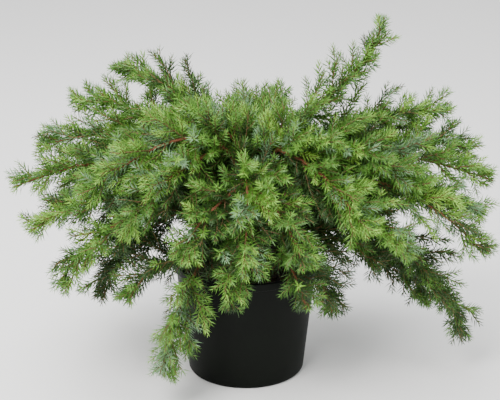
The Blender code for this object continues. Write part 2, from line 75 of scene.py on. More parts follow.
class Sector(Enum):
    """A quarter of the crown, seen from above."""

    BACK_RIGHT = "back_right"
    BACK_LEFT = "back_left"
    FRONT_LEFT = "front_left"
    FRONT_RIGHT = "front_right"

    @staticmethod
    def of(azimuth: float) -> "Sector":
        """Return the quarter that an azimuth in degrees lies in."""
        return list(Sector)[int(azimuth % 360 // 90)]


class Tone(Enum):
    """How old a spray of needles is, and how lit: the painted shade tone is a darker green painted on sprays
    deep in the crown and under hanging masses.
    """

    # Painted shade: darker needles standing for the shade inside the crown
    DEEP = "deep"
    LEAF = "leaf"
    FRESH = "fresh"
    SILVER = "silver"
    YOUNG = "young"

    def younger(self) -> "Tone":
        """Return the tone of the growth at the end of a spray of this tone."""
        return {
            Tone.DEEP: Tone.LEAF,
            Tone.LEAF: Tone.FRESH,
            Tone.FRESH: Tone.YOUNG,
            Tone.SILVER: Tone.FRESH,
            Tone.YOUNG: Tone.YOUNG,
        }[self]


class Place(Enum):
    """What a pattern is fixed to: the object's own space, or the length of a limb."""

    OBJECT = "object"
    BARK = "bark_place"


@dataclass(frozen=True)
class Tip:
    """Where a stem of foliage ends, and how steeply it drops there, in degrees and metres."""

    azimuth: float
    reach: float
    height: float
    droop: float


@dataclass(frozen=True)
class Limb:
    """One limb from the trunk: its slope there, its bare share, its arch, and its tips."""

    name: str
    rise: float
    bare: float
    arch: float
    tips: tuple[Tip, ...]


# From the lowest on the trunk to the highest, as in the solids
LIMBS = (
    Limb("right_weeping", 62, 0.42, 0.46, (Tip(356, 0.275, 0.047, 84), Tip(8, 0.235, 0.070, 80))),
    Limb("front_left_weeping", 66, 0.36, 0.46, (Tip(233, 0.165, 0.046, 84), Tip(217, 0.176, 0.132, 70))),
    Limb("back_right_low", 60, 0.38, 0.46, (Tip(44, 0.245, 0.110, 74), Tip(70, 0.222, 0.120, 70))),
    Limb("left_low", 60, 0.36, 0.46, (Tip(202, 0.247, 0.146, 62), Tip(187, 0.190, 0.106, 78))),
    Limb("front_right_weeping", 66, 0.36, 0.46, (
        Tip(321, 0.136, 0.105, 82), Tip(298, 0.152, 0.136, 72), Tip(339, 0.170, 0.156, 66))),
    Limb("back_left_low", 60, 0.38, 0.46, (Tip(138, 0.245, 0.110, 74), Tip(108, 0.225, 0.115, 70))),
    Limb("front_weeping", 72, 0.0, 0.50, (Tip(262, 0.148, 0.140, 76),)),
    Limb("right_low", 58, 0.32, 0.46, (
        Tip(346, 0.300, 0.178, 52), Tip(331, 0.230, 0.194, 52), Tip(353, 0.296, 0.214, 44))),
    Limb("left_spread", 50, 0.32, 0.46, (Tip(182, 0.290, 0.246, 22), Tip(193, 0.270, 0.206, 38))),
    Limb("right_spread", 52, 0.32, 0.46, (Tip(1, 0.308, 0.250, 20), Tip(9, 0.293, 0.268, 42))),
    Limb("back_upper", 74, 0.28, 0.50, (Tip(92, 0.222, 0.262, 34), Tip(118, 0.214, 0.310, 16))),
    Limb("left_back", 56, 0.32, 0.46, (Tip(160, 0.268, 0.180, 46), Tip(144, 0.262, 0.215, 36))),
    Limb("right_back", 54, 0.32, 0.44, (Tip(17, 0.276, 0.322, -4), Tip(34, 0.262, 0.226, 36))),
    Limb("front_upper", 82, 0.28, 0.62, (
        Tip(270, 0.152, 0.182, 66), Tip(243, 0.166, 0.200, 58), Tip(295, 0.160, 0.190, 62))),
    Limb("left_top", 60, 0.32, 0.46, (
        Tip(136, 0.232, 0.350, 6), Tip(154, 0.250, 0.320, 14), Tip(172, 0.266, 0.284, 18))),
    Limb("right_upper", 76, 0.26, 0.56, (Tip(344, 0.225, 0.262, 34), Tip(320, 0.190, 0.222, 50))),
    Limb("left_upper", 76, 0.26, 0.56, (Tip(204, 0.215, 0.258, 36), Tip(222, 0.195, 0.226, 50))),
    Limb("crown_back", 80, 0.0, 0.50, (Tip(70, 0.150, 0.312, 14),)),
    Limb("right_leader", 66, 0.34, 0.42, (Tip(13, 0.174, 0.450, -76),)),
    Limb("crown_top", 84, 0.0, 0.56, (Tip(186, 0.105, 0.322, 20),)),
)


@dataclass(frozen=True)
class Habit:
    """How one mass grows: its spacing and its length against the usual, and whether its needles are painted
    in the darker shade tones.
    """

    spacing: float = 1.0
    length: float = 1.0
    shaded: bool = False


USUAL = Habit()
# Masses that hang under the dome get painted shade: darker needle tones
HANGING = Habit(spacing=0.95, shaded=True)
INNER = Habit(spacing=0.85, length=1.2)
HABITS = {
    "right_weeping": HANGING,
    "right_weeping_fork": HANGING,
    "front_right_weeping_second_fork": HANGING,
    "right_leader": Habit(spacing=0.75, length=0.62),
}


def unit(vector: np.ndarray) -> np.ndarray:
    """Return the vector at length one."""
    return vector / np.linalg.norm(vector)


def outward(azimuth: float) -> np.ndarray:
    """Return the level direction at an azimuth in degrees."""
    return np.array((math.cos(math.radians(azimuth)), math.sin(math.radians(azimuth)), 0.0))


def crown_depth(point: np.ndarray) -> float:
    """Return how far out a point lies, from 0 at the crown's centre to 1 at its surface."""
    return float(np.linalg.norm((point - CROWN_CENTRE) / CROWN_RADII))


def crown_face(point: np.ndarray, heading: np.ndarray) -> np.ndarray:
    """Return the direction out of the crown at a point, square to a heading."""
    out = unit((point - CROWN_CENTRE) / CROWN_RADII**2) + UP * FACE_LIFT
    return unit(out - heading * float(out @ heading))


class Path:
    """A smooth line through the crown, read by distance along it."""

    def __init__(self, points: np.ndarray) -> None:
        """Measure the line through the points."""
        self.points = np.asarray(points, dtype=float)
        steps = np.linalg.norm(np.diff(self.points, axis=0), axis=1)
        self.marks = np.concatenate(([0.0], np.cumsum(steps)))
        self.length = float(self.marks[-1])

    def at(self, distance: float | np.ndarray) -> np.ndarray:
        """Return the point, or the points, at a distance from the start."""
        return np.stack([np.interp(distance, self.marks, self.points[:, axis]) for axis in range(3)], axis=-1)

    def heading(self, distance: float) -> np.ndarray:
        """Return the unit direction of travel at a distance from the start."""
        ahead = self.at(min(distance + HEADING_REACH, self.length))
        behind = self.at(max(distance - HEADING_REACH, 0.0))
        return unit(ahead - behind)

    def part(self, start: float, end: float, step: float = 0.003) -> "Path":
        """Return the stretch between two distances.

        Args:
            start: Where the stretch starts.
            end: Where it ends.
            step: The distance between its points.

        Returns:
            The stretch as a line of its own.
        """
        count = max(FEWEST_POINTS, int((end - start) / step) + 1)
        return Path(self.at(np.linspace(start, end, count)))

    def rooted(self, depth: float) -> "Path":
        """Return the line with its start carried straight back into what bears it."""
        root = self.points[0] - self.heading(0.0) * depth
        return Path(np.vstack((root, self.points)))


def bezier(corners: tuple[np.ndarray, ...], count: int = CURVE_POINTS) -> Path:
    """Return a cubic curve.

    Args:
        corners: Its start, its two handles and its end.
        count: How many points it has.

    Returns:
        The curve as a line.
    """
    share = np.linspace(0.0, 1.0, count)[:, None]
    rest = 1.0 - share
    first, second, third, last = corners
    points = rest**3 * first + 3 * rest**2 * share * second + 3 * rest * share**2 * third + share**3 * last
    return Path(points)


@dataclass(frozen=True)
class PotSizes:
    """The sizes of the tapered pot that the foliage hangs over."""

    base_radius: float = 0.0735
    top_radius: float = 0.0900
    wall: float = 0.0016
    floor: float = 0.0025
    corner: float = 0.0045
    rim_height: float = 0.0110
    rim_proud: float = 0.0030
    lip: float = 0.0012
    height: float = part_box("pot")[1].z

    def radius(self, height: float | np.ndarray) -> float | np.ndarray:
        """Return the outer wall's radius at a height."""
        share = np.clip(height / self.height, 0.0, 1.0)
        return self.base_radius + (self.top_radius - self.base_radius) * share


@dataclass(frozen=True)
class TrunkSizes:
    """The sizes of the short trunk, from its foot on the compost to its tip in the crown."""

    compost_top: float = 0.140
    tip_height: float = 0.268
    radius: float = 0.0078
    tip_radius: float = 0.0042
    flare_radius: float = 0.0135
    flare_height: float = 0.012
    flare_fall: float = 1.5
    lean: tuple[float, float] = (0.006, 0.010)
    lean_start: float = 0.4

    def path(self) -> Path:
        """Return the trunk's centre line."""
        foot = self.compost_top + GAP
        middle = (foot + self.tip_height) / 2
        level = np.array((*self.lean, 0.0))
        return bezier((
            UP * foot,
            UP * middle,
            level * self.lean_start + UP * middle,
            level + UP * self.tip_height,
        ))

    def radius_at(self, share: float | np.ndarray) -> float | np.ndarray:
        """Return the trunk's radius at a share of its length, with the flare at its foot."""
        height = share * (self.tip_height - self.compost_top)
        flare = (self.flare_radius - self.radius) * np.exp(-((height / self.flare_height) ** self.flare_fall))
        return self.radius + (self.tip_radius - self.radius) * share + flare


@dataclass(frozen=True)
class LimbSizes:
    """The sizes that boughs and stems share."""

    first_height: float = 0.1570
    last_height: float = 0.2620
    bough_radius: float = 0.0033
    bough_tip_radius: float = 0.0023
    stem_radius: float = 0.0025
    stem_tip_radius: float = 0.0008
    fork_arch: float = 0.36
    arrive_handle: float = 0.42
    fork_back: float = 0.004
    fork_step: float = 0.010
    fork_lean: float = math.radians(52)
    collar: float = 0.0012
    collar_reach: float = 0.006

    def bough_radius_at(self, share: float | np.ndarray) -> float | np.ndarray:
        """Return a bough's radius at a share of its length."""
        return self.bough_radius + (self.bough_tip_radius - self.bough_radius) * share


class Skeleton:
    """The trunk, the bare boughs and the stems that the foliage grows on."""

    FORK_NAMES = ("fork", "second_fork")

    def __init__(self, trunk: TrunkSizes, sizes: LimbSizes) -> None:
        """Lay out every limb of the table.

        Args:
            trunk: The trunk's sizes.
            sizes: The limbs' sizes.
        """
        self.trunk = trunk
        self.sizes = sizes
        self.boughs: dict[str, Path] = {}
        self.stems: dict[str, Path] = {}
        self.azimuths: dict[str, float] = {}
        last = len(LIMBS) - 1
        for index, limb in enumerate(LIMBS):
            self.add_limb(limb, index / last)

    def add_limb(self, limb: Limb, rank: float) -> None:
        """Add one limb: its bough, its own stem and the stems that fork off.

        Args:
            limb: The limb's row of the table.
            rank: Its place up the trunk, from 0 to 1.
        """
        path = self.limb_path(limb, rank)
        split = limb.bare * path.length
        if limb.bare > 0:
            self.boughs[limb.name] = path.part(0.0, split)
        self.stems[limb.name] = path.part(split, path.length)
        self.azimuths[limb.name] = limb.tips[0].azimuth
        for place, tip in enumerate(limb.tips[1:]):
            name = f"{limb.name}_{self.FORK_NAMES[place]}"
            self.stems[name] = self.fork_path(self.boughs[limb.name], tip, place)
            self.azimuths[name] = tip.azimuth

    def reach_tip(self, root: np.ndarray, leave: np.ndarray, arch: float, tip: Tip) -> Path:
        """Return a centre line from a root to a tip.

        Args:
            root: Where it starts.
            leave: The direction that it leaves in.
            arch: The length of its first handle as a share of its span.
            tip: Where it ends, and how steeply.

        Returns:
            The centre line.
        """
        far = outward(tip.azimuth)
        end = far * tip.reach + UP * tip.height
        droop = math.radians(tip.droop)
        arrive = far * math.cos(droop) - UP * math.sin(droop)
        span = float(np.linalg.norm(end - root))
        return bezier((root, root + leave * span * arch, end - arrive * span * self.sizes.arrive_handle, end))

    def limb_path(self, limb: Limb, rank: float) -> Path:
        """Return a limb's centre line from the trunk's side to its own tip.

        Args:
            limb: The limb's row of the table.
            rank: Its place up the trunk, from 0 to 1.

        Returns:
            The centre line.
        """
        trunk = self.trunk.path()
        height = self.sizes.first_height + (self.sizes.last_height - self.sizes.first_height) * rank
        share = (height - self.trunk.compost_top) / (self.trunk.tip_height - self.trunk.compost_top)
        out = outward(limb.tips[0].azimuth)
        rise = math.radians(limb.rise)
        stand = self.trunk.radius_at(share) + self.sizes.bough_radius * math.sin(rise) + 2 * GAP
        root = trunk.at(share * trunk.length) + out * stand
        return self.reach_tip(root, out * math.cos(rise) + UP * math.sin(rise), limb.arch, limb.tips[0])

    def fork_path(self, bough: Path, tip: Tip, place: int) -> Path:
        """Return the centre line of a stem that leaves the side of a bough near its end.

        Args:
            bough: The bough's centre line.
            tip: Where the stem ends.
            place: How many other stems fork off beyond it.

        Returns:
            The centre line.
        """
        sizes = self.sizes
        fork = bough.length - sizes.fork_back - sizes.fork_step * place
        heading = bough.heading(fork)
        towards = outward(tip.azimuth) * tip.reach + UP * tip.height - bough.at(fork)
        side = unit(towards - heading * float(towards @ heading))
        radii = sizes.bough_radius_at(fork / bough.length) + sizes.stem_radius * math.cos(sizes.fork_lean)
        leave = heading * math.cos(sizes.fork_lean) + side * math.sin(sizes.fork_lean)
        return self.reach_tip(bough.at(fork) + side * (radii + 2 * GAP), leave, sizes.fork_arch, tip)


class Space:
    """The room round a stem that its foliage keeps to, clear of the pot and the ground."""

    ROOT_RADIUS = 0.070
    TIP_RADIUS = 0.026
    STEP = 0.006
    POT_CLEARANCE = 0.010
    LOWEST = 0.030

    def __init__(self, stem: Path, pot: PotSizes) -> None:
        """Measure the room round a stem.

        Args:
            stem: The stem's centre line.
            pot: The pot that the foliage hangs over.
        """
        marks = np.arange(0.0, stem.length, self.STEP)
        self.samples = stem.at(marks)
        self.end = stem.points[-1]
        self.end_heading = stem.heading(stem.length)
        self.radii = self.ROOT_RADIUS + (self.TIP_RADIUS - self.ROOT_RADIUS) * marks / stem.length
        self.pot = pot

    def reach(self, line: Path) -> float:
        """Return how far along a line its points stay in the room.

        Args:
            line: The line, from its root.

        Returns:
            The distance from its root to its first point outside, or its length.
        """
        points = line.points[1:]
        gaps = np.linalg.norm(points[:, None] - self.samples[None], axis=2)
        nearest = np.argmin(gaps, axis=1)
        outside = gaps[np.arange(len(points)), nearest] > self.radii[nearest]
        level = np.hypot(points[:, 0], points[:, 1])
        wall = self.pot.radius(points[:, 2]) + self.pot.rim_proud + self.POT_CLEARANCE
        inside_pot = (points[:, 2] < self.pot.height + self.POT_CLEARANCE) & (level < wall)
        past_end = (points - self.end) @ self.end_heading > 0.0
        wrong = outside | inside_pot | past_end | (points[:, 2] < self.LOWEST)
        if not wrong.any():
            return line.length
        return float(line.marks[np.argmax(wrong)])


@dataclass(frozen=True)
class BranchRule:
    """How side growth leaves a line: how often, how long, and how it bends."""

    spacing: float
    length: float
    shortest: float
    first: float
    last: float
    tip_loss: float
    sweep: float
    rise: float
    points: int
    root_radius: float
    tip_radius: float


@dataclass(frozen=True)
class WoodLine:
    """One line of wood and its radius at each point."""

    points: np.ndarray
    girths: np.ndarray


@dataclass(frozen=True)
class SprayLine:
    """One line that bears needles, with the share of its shoot's length at each point."""

    points: np.ndarray
    shares: np.ndarray


class Growth:
    """The twigs and shoots of the whole crown, by a seeded rule."""

    TWIG = BranchRule(
        spacing=0.0105, length=0.074, shortest=0.012, first=0.006, last=0.006, tip_loss=0.66,
        sweep=0.60, rise=0.12, points=16, root_radius=0.0011, tip_radius=0.0005,
    )
    LIMB_SHOOT = BranchRule(
        spacing=0.0080, length=0.036, shortest=0.010, first=0.004, last=0.004, tip_loss=0.45,
        sweep=0.50, rise=0.10, points=10, root_radius=0.0007, tip_radius=0.0004,
    )
    SHOOT = BranchRule(
        spacing=0.0068, length=0.029, shortest=0.009, first=0.006, last=0.005, tip_loss=0.35,
        sweep=0.50, rise=0.10, points=9, root_radius=0.0006, tip_radius=0.0004,
    )
    LEAN_ROOT = math.radians(52)
    LEAN_TIP = math.radians(28)
    LEAN_SPREAD = math.radians(9)
    LIFTS = tuple(math.radians(lift) for lift in (12, 75, 8, -70))
    LIFT_SPREAD = math.radians(18)
    SIZE_SPREAD = (0.75, 1.20)
    SPACING_SPREAD = (0.80, 1.20)
    HANDLE = 0.42
    BOUGH_BARE = 0.14
    STEM_BARE = 0.28
    NEEDLES_FIRST = 0.004
    INNER_DEPTH = 0.64
    OUTER_DEPTH = 0.82
    YOUNG_LENGTH = 0.014
    YOUNG_SHARE = 0.40
    YOUNG_CHANCE = 0.60
    SAME_TONE_CHANCE = 0.65
    # Outer sprays draw from OPEN_TONES, the lit weights; SHADE_TONES paint shade with darker needles on inner
    # sprays and hanging masses
    OPEN_TONES = {Tone.DEEP: 12, Tone.LEAF: 42, Tone.FRESH: 27, Tone.SILVER: 14, Tone.YOUNG: 5}
    SHADE_TONES = {Tone.DEEP: 62, Tone.LEAF: 32, Tone.FRESH: 6}

    def __init__(self, skeleton: Skeleton, pot: PotSizes) -> None:
        """Grow the whole crown.

        Args:
            skeleton: The limbs that carry it.
            pot: The pot that it hangs over.
        """
        self.skeleton = skeleton
        self.pot = pot
        self.wood: dict[Sector, list[WoodLine]] = {sector: [] for sector in Sector}
        self.sprays: dict[tuple[Tone, Sector], list[SprayLine]] = {}
        for name, stem in skeleton.stems.items():
            self.grow_mass(name, stem)
        for name, bough in skeleton.boughs.items():
            self.grow_inner(name, bough)

    def grow_mass(self, name: str, stem: Path) -> None:
        """Dress one stem with twigs and shoots, and its outer end with needles.

        Args:
            name: The mass's name.
            stem: Its centre line.
        """
        draw = random.Random(name)
        sector = Sector.of(self.skeleton.azimuths[name])
        habit = HABITS.get(name, USUAL)
        self.dress_limb(stem, Space(stem, self.pot), draw, sector, 0.0, habit)
        bare = stem.length * self.STEM_BARE
        tone = self.pick_tone(stem.points[-1], draw, habit)
        self.add_spray(stem.part(bare, stem.length), tone, sector, draw)

    def grow_inner(self, name: str, bough: Path) -> None:
        """Dress the outer stretch of one bough, which the foliage hides.

        Args:
            name: The limb's name.
            bough: Its centre line.
        """
        draw = random.Random(name + "_inner")
        sector = Sector.of(self.skeleton.azimuths[name])
        whole = Path(np.vstack((bough.points, self.skeleton.stems[name].points)))
        self.dress_limb(bough, Space(whole, self.pot), draw, sector, bough.length * self.BOUGH_BARE, INNER)

    def dress_limb(
        self, limb: Path, space: Space, draw: random.Random, sector: Sector, bare: float, habit: Habit
    ) -> None:
        """Add a limb's twigs, and the short shoots between them.

        Args:
            limb: The limb's centre line.
            space: The room that its growth keeps to.
            draw: The source of chance.
            sector: The quarter of the crown.
            bare: The bare stretch at the limb's start.
            habit: How its mass grows.
        """
        for twig in self.side_growth(limb, self.TWIG, space, draw, bare, habit):
            tone = self.pick_tone(twig.points[-1], draw, habit)
            self.add_shoot(twig, self.TWIG, tone, sector, draw)
            for shoot in self.side_growth(twig, self.SHOOT, space, draw, 0.0, USUAL):
                changes = draw.random() > self.SAME_TONE_CHANCE
                shoot_tone = self.pick_tone(shoot.points[-1], draw, habit) if changes else tone
                self.add_shoot(shoot, self.SHOOT, shoot_tone, sector, draw)
        for shoot in self.side_growth(limb, self.LIMB_SHOOT, space, draw, bare, habit):
            tone = self.pick_tone(shoot.points[-1], draw, habit)
            self.add_shoot(shoot, self.LIMB_SHOOT, tone, sector, draw)

    def side_growth(
        self, parent: Path, rule: BranchRule, space: Space, draw: random.Random, bare: float, habit: Habit
    ) -> list[Path]:
        """Return the side growth of one line: left and right in turn, with some standing out.

        Args:
            parent: The line that carries it.
            rule: How it grows.
            space: The room that it keeps to.
            draw: The source of chance.
            bare: The bare stretch at the line's start.
            habit: How its mass grows.

        Returns:
            The lines that found room.
        """
        lines = []
        mark = bare + rule.first
        hand = draw.choice((-1.0, 1.0))
        place = draw.randrange(len(self.LIFTS))
        while mark < parent.length - rule.last:
            share = mark / parent.length
            root = parent.at(mark)
            heading = parent.heading(mark)
            face = crown_face(root, heading)
            lean = self.LEAN_ROOT + (self.LEAN_TIP - self.LEAN_ROOT) * share
            lean += draw.uniform(-self.LEAN_SPREAD, self.LEAN_SPREAD)
            lift = self.LIFTS[place % len(self.LIFTS)] + draw.uniform(-self.LIFT_SPREAD, self.LIFT_SPREAD)
            out = np.cross(face, heading) * hand * math.cos(lift) + face * math.sin(lift)
            along = heading * math.cos(lean) + out * math.sin(lean)
            size = habit.length * (1.0 - rule.tip_loss * share) * draw.uniform(*self.SIZE_SPREAD)
            arrive = unit(along + heading * rule.sweep + UP * rule.rise)
            tip = root + unit(along + arrive) * rule.length * size
            handle = rule.length * size * self.HANDLE
            line = bezier((root, root + along * handle, tip - arrive * handle, tip), rule.points)
            reach = space.reach(line)
            if reach >= rule.shortest * min(habit.length, 1.0):
                lines.append(line.part(0.0, reach, line.length / rule.points))
            mark += rule.spacing * habit.spacing * draw.uniform(*self.SPACING_SPREAD)
            hand = -hand
            place += 1
        return lines

    def add_shoot(
        self, line: Path, rule: BranchRule, tone: Tone, sector: Sector, draw: random.Random
    ) -> None:
        """Add one line of side growth with its wood and its needles."""
        self.add_wood(line, rule, sector)
        self.add_spray(line, tone, sector, draw)

    def pick_tone(self, point: np.ndarray, draw: random.Random, habit: Habit) -> Tone:
        """Return the tone of a spray that ends at a point, with painted shade for sprays deep in the crown or
        in shaded masses.

        Args:
            point: The end of the spray.
            draw: The source of chance.
            habit: How its mass grows.

        Returns:
            The tone.
        """
        # Painted shade: the deepest sprays all take the darkest tone, inner sprays and shaded masses the
        # darker shade weights
        depth = crown_depth(point)
        if depth < self.INNER_DEPTH:
            return Tone.DEEP
        weights = self.SHADE_TONES if habit.shaded or depth < self.OUTER_DEPTH else self.OPEN_TONES
        return draw.choices(list(weights), list(weights.values()))[0]

    def add_wood(self, line: Path, rule: BranchRule, sector: Sector) -> None:
        """Add the wood of a twig or shoot, rooted in what bears it.

        Args:
            line: The centre line.
            rule: The rule that it grew by.
            sector: The quarter of the crown.
        """
        rooted = line.rooted(rule.root_radius)
        shares = rooted.marks / rooted.length
        girths = rule.root_radius + (rule.tip_radius - rule.root_radius) * shares
        self.wood[sector].append(WoodLine(rooted.points, girths))

    def add_spray(self, line: Path, tone: Tone, sector: Sector, draw: random.Random) -> None:
        """Add a line's needles, with a younger tone at the end of many outer ones.

        Args:
            line: The line that bears them.
            tone: Their tone.
            sector: The quarter of the crown.
            draw: The source of chance.
        """
        young = min(self.YOUNG_LENGTH, line.length * self.YOUNG_SHARE)
        outer = crown_depth(line.points[-1]) > self.OUTER_DEPTH
        split = line.length
        if outer and draw.random() < self.YOUNG_CHANCE:
            split -= young
            self.add_needles(line, split, line.length, tone.younger(), sector)
        self.add_needles(line, self.NEEDLES_FIRST, split, tone, sector)

    def add_needles(self, line: Path, start: float, end: float, tone: Tone, sector: Sector) -> None:
        """Add the needles of one stretch of a line, in one tone.

        Args:
            line: The line that bears them.
            start: Where the stretch starts.
            end: Where it ends.
            tone: Their tone.
            sector: The quarter of the crown.
        """
        if end - start < self.NEEDLES_FIRST:
            return
        stretch = line.part(start, end)
        shares = (start + stretch.marks) / line.length
        self.sprays.setdefault((tone, sector), []).append(SprayLine(stretch.points, shares))


def find_socket(sockets: bpy.types.bpy_prop_collection, key: str) -> bpy.types.NodeSocket:
    """Return the socket in use that has a name or an identifier."""
    named = [item for item in sockets if key in (item.identifier, item.name)]
    return next((item for item in named if item.enabled), named[0])


class Graph:
    """A node tree written as calls."""

    def __init__(self, tree: bpy.types.NodeTree) -> None:
        """Write into a tree."""
        self.tree = tree

    def add(self, kind: str, inputs: dict[str, object] | None = None, **settings: object) -> bpy.types.Node:
        """Add a node.

        Args:
            kind: The node's type.
            inputs: A value, or a socket to link from, for each input by name.
            **settings: The node's own settings.

        Returns:
            The node.
        """
        node = self.tree.nodes.new(kind)
        for key, value in settings.items():
            setattr(node, key, value)
        for key, value in (inputs or {}).items():
            self.feed(node, key, value)
        return node

    def feed(self, node: bpy.types.Node, key: str, value: object) -> None:
        """Set or link one input of a node.

        Args:
            node: The node.
            key: The input's name or identifier.
            value: A value, or a socket to link from.
        """
        target = find_socket(node.inputs, key)
        if isinstance(value, bpy.types.NodeSocket):
            self.tree.links.new(value, target)
        else:
            target.default_value = value

    def value(
        self, kind: str, key: str, inputs: dict[str, object] | None = None, **settings: object
    ) -> bpy.types.NodeSocket:
        """Add a node and return its output of that name."""
        return find_socket(self.add(kind, inputs, **settings).outputs, key)

    def math(self, operation: str, first: object, second: object) -> object:
        """Return the result of an arithmetic node."""
        terms = {"Value": first, "Value_001": second}
        return self.value("ShaderNodeMath", "Value", terms, operation=operation)


class GeometryTree:
    """A geometry tree with named inputs that ends in real faces of one material."""

    INPUTS: dict[str, str] = {}

    def __init__(self, name: str) -> None:
        """Make the tree and its interface.

        Args:
            name: The tree's name.
        """
        self.tree = bpy.data.node_groups.new(name, "GeometryNodeTree")
        interface = self.tree.interface
        interface.new_socket("Geometry", in_out="INPUT", socket_type="NodeSocketGeometry")
        for label, kind in self.INPUTS.items():
            interface.new_socket(label, in_out="INPUT", socket_type=kind)
        interface.new_socket("Material", in_out="INPUT", socket_type="NodeSocketMaterial")
        interface.new_socket("Geometry", in_out="OUTPUT", socket_type="NodeSocketGeometry")
        self.graph = Graph(self.tree)
        self.given = self.tree.nodes.new("NodeGroupInput").outputs
        shape = self.graph.value("GeometryNodeRealizeInstances", "Geometry", {"Geometry": self.shape()})
        made = {"Geometry": shape, "Material": self.given["Material"]}
        finished = self.graph.value("GeometryNodeSetMaterial", "Geometry", made)
        self.tree.links.new(finished, self.tree.nodes.new("NodeGroupOutput").inputs["Geometry"])

    def shape(self) -> bpy.types.NodeSocket:
        """Return the socket of the tree's own geometry."""
        raise NotImplementedError

    def run(self, item: bpy.types.Object, material: bpy.types.Material, values: dict[str, object]) -> None:
        """Turn an object's mesh into the tree's result, as a plain mesh.

        Args:
            item: The object, whose mesh the tree reads.
            material: The result's material.
            values: The tree's inputs by name.
        """
        modifier = item.modifiers.new(self.tree.name, "NODES")
        modifier.node_group = self.tree
        for socket in self.tree.interface.items_tree:
            if socket.in_out == "INPUT" and socket.name in values:
                modifier[socket.identifier] = values[socket.name]
            if socket.in_out == "INPUT" and socket.name == "Material":
                modifier[socket.identifier] = material
        bpy.context.view_layer.update()
        depsgraph = bpy.context.evaluated_depsgraph_get()
        seen = item.evaluated_get(depsgraph)
        mesh = bpy.data.meshes.new_from_object(seen, preserve_all_data_layers=True, depsgraph=depsgraph)
        item.modifiers.remove(modifier)
        item.data = mesh
        mesh.name = item.name


class LimbTree(GeometryTree):
    """Tubes of wood round lines, with relief that runs along the bark."""

    INPUTS = {
        "Sides": "NodeSocketInt",
        "Ring Step": "NodeSocketFloat",
        "Relief": "NodeSocketFloat",
    }
    ROUND_SCALE = 1.4
    ALONG_SCALE = 55.0
    RELIEF_DETAIL = 3.0

    def shape(self) -> bpy.types.NodeSocket:
        """Return the tubes: each line resampled, given its radius, and roughened.

        Returns:
            The tubes' socket.
        """
        graph = self.graph
        curve = graph.value("GeometryNodeMeshToCurve", "Curve", {"Mesh": self.given["Geometry"]})
        even = {"Curve": curve, "Length": self.given["Ring Step"]}
        curve = graph.value("GeometryNodeResampleCurve", "Curve", even, mode="LENGTH")
        along = graph.value("GeometryNodeSplineParameter", "Length")
        curve = self.store(curve, "along", "FLOAT", along)
        circle = {"Resolution": self.given["Sides"], "Radius": 1.0}
        profile = graph.value("GeometryNodeCurvePrimitiveCircle", "Curve", circle)
        corner = graph.value("GeometryNodeInputPosition", "Position")
        profile = self.store(profile, "ring", "FLOAT_VECTOR", corner)
        tube = graph.value("GeometryNodeCurveToMesh", "Mesh", {
            "Curve": curve,
            "Profile Curve": profile,
            "Scale": self.read("girth", "FLOAT"),
            "Fill Caps": True,
        })
        ring = graph.add("ShaderNodeSeparateXYZ", {"Vector": self.read("ring", "FLOAT_VECTOR")})
        place = graph.value("ShaderNodeCombineXYZ", "Vector", {
            "X": graph.math("MULTIPLY", ring.outputs["X"], self.ROUND_SCALE),
            "Y": graph.math("MULTIPLY", ring.outputs["Y"], self.ROUND_SCALE),
            "Z": graph.math("MULTIPLY", self.read("along", "FLOAT"), self.ALONG_SCALE),
        })
        tube = self.store(tube, Place.BARK.value, "FLOAT_VECTOR", place)
        ridges = {
            "Vector": self.read(Place.BARK.value, "FLOAT_VECTOR"),
            "Scale": 1.0,
            "Detail": self.RELIEF_DETAIL,
        }
        height = graph.math("SUBTRACT", graph.value("ShaderNodeTexNoise", "Fac", ridges), 0.5)
        height = graph.math("MULTIPLY", height, self.given["Relief"])
        normal = graph.value("GeometryNodeInputNormal", "Normal")
        raised = {"Vector": normal, "Scale": height}
        offset = graph.value("ShaderNodeVectorMath", "Vector", raised, operation="SCALE")
        tube = graph.value("GeometryNodeSetPosition", "Geometry", {"Geometry": tube, "Offset": offset})
        return graph.value("GeometryNodeSetShadeSmooth", "Geometry", {"Geometry": tube})

    def store(self, geometry: object, name: str, kind: str, value: object) -> object:
        """Return geometry with a value stored on its points under a name."""
        given = {"Geometry": geometry, "Name": name, "Value": value}
        kinds = {"data_type": kind, "domain": "POINT"}
        return self.graph.value("GeometryNodeStoreNamedAttribute", "Geometry", given, **kinds)

    def read(self, name: str, kind: str) -> object:
        """Return a value stored under a name."""
        named = {"Name": name}
        return self.graph.value("GeometryNodeInputNamedAttribute", "Attribute", named, data_type=kind)


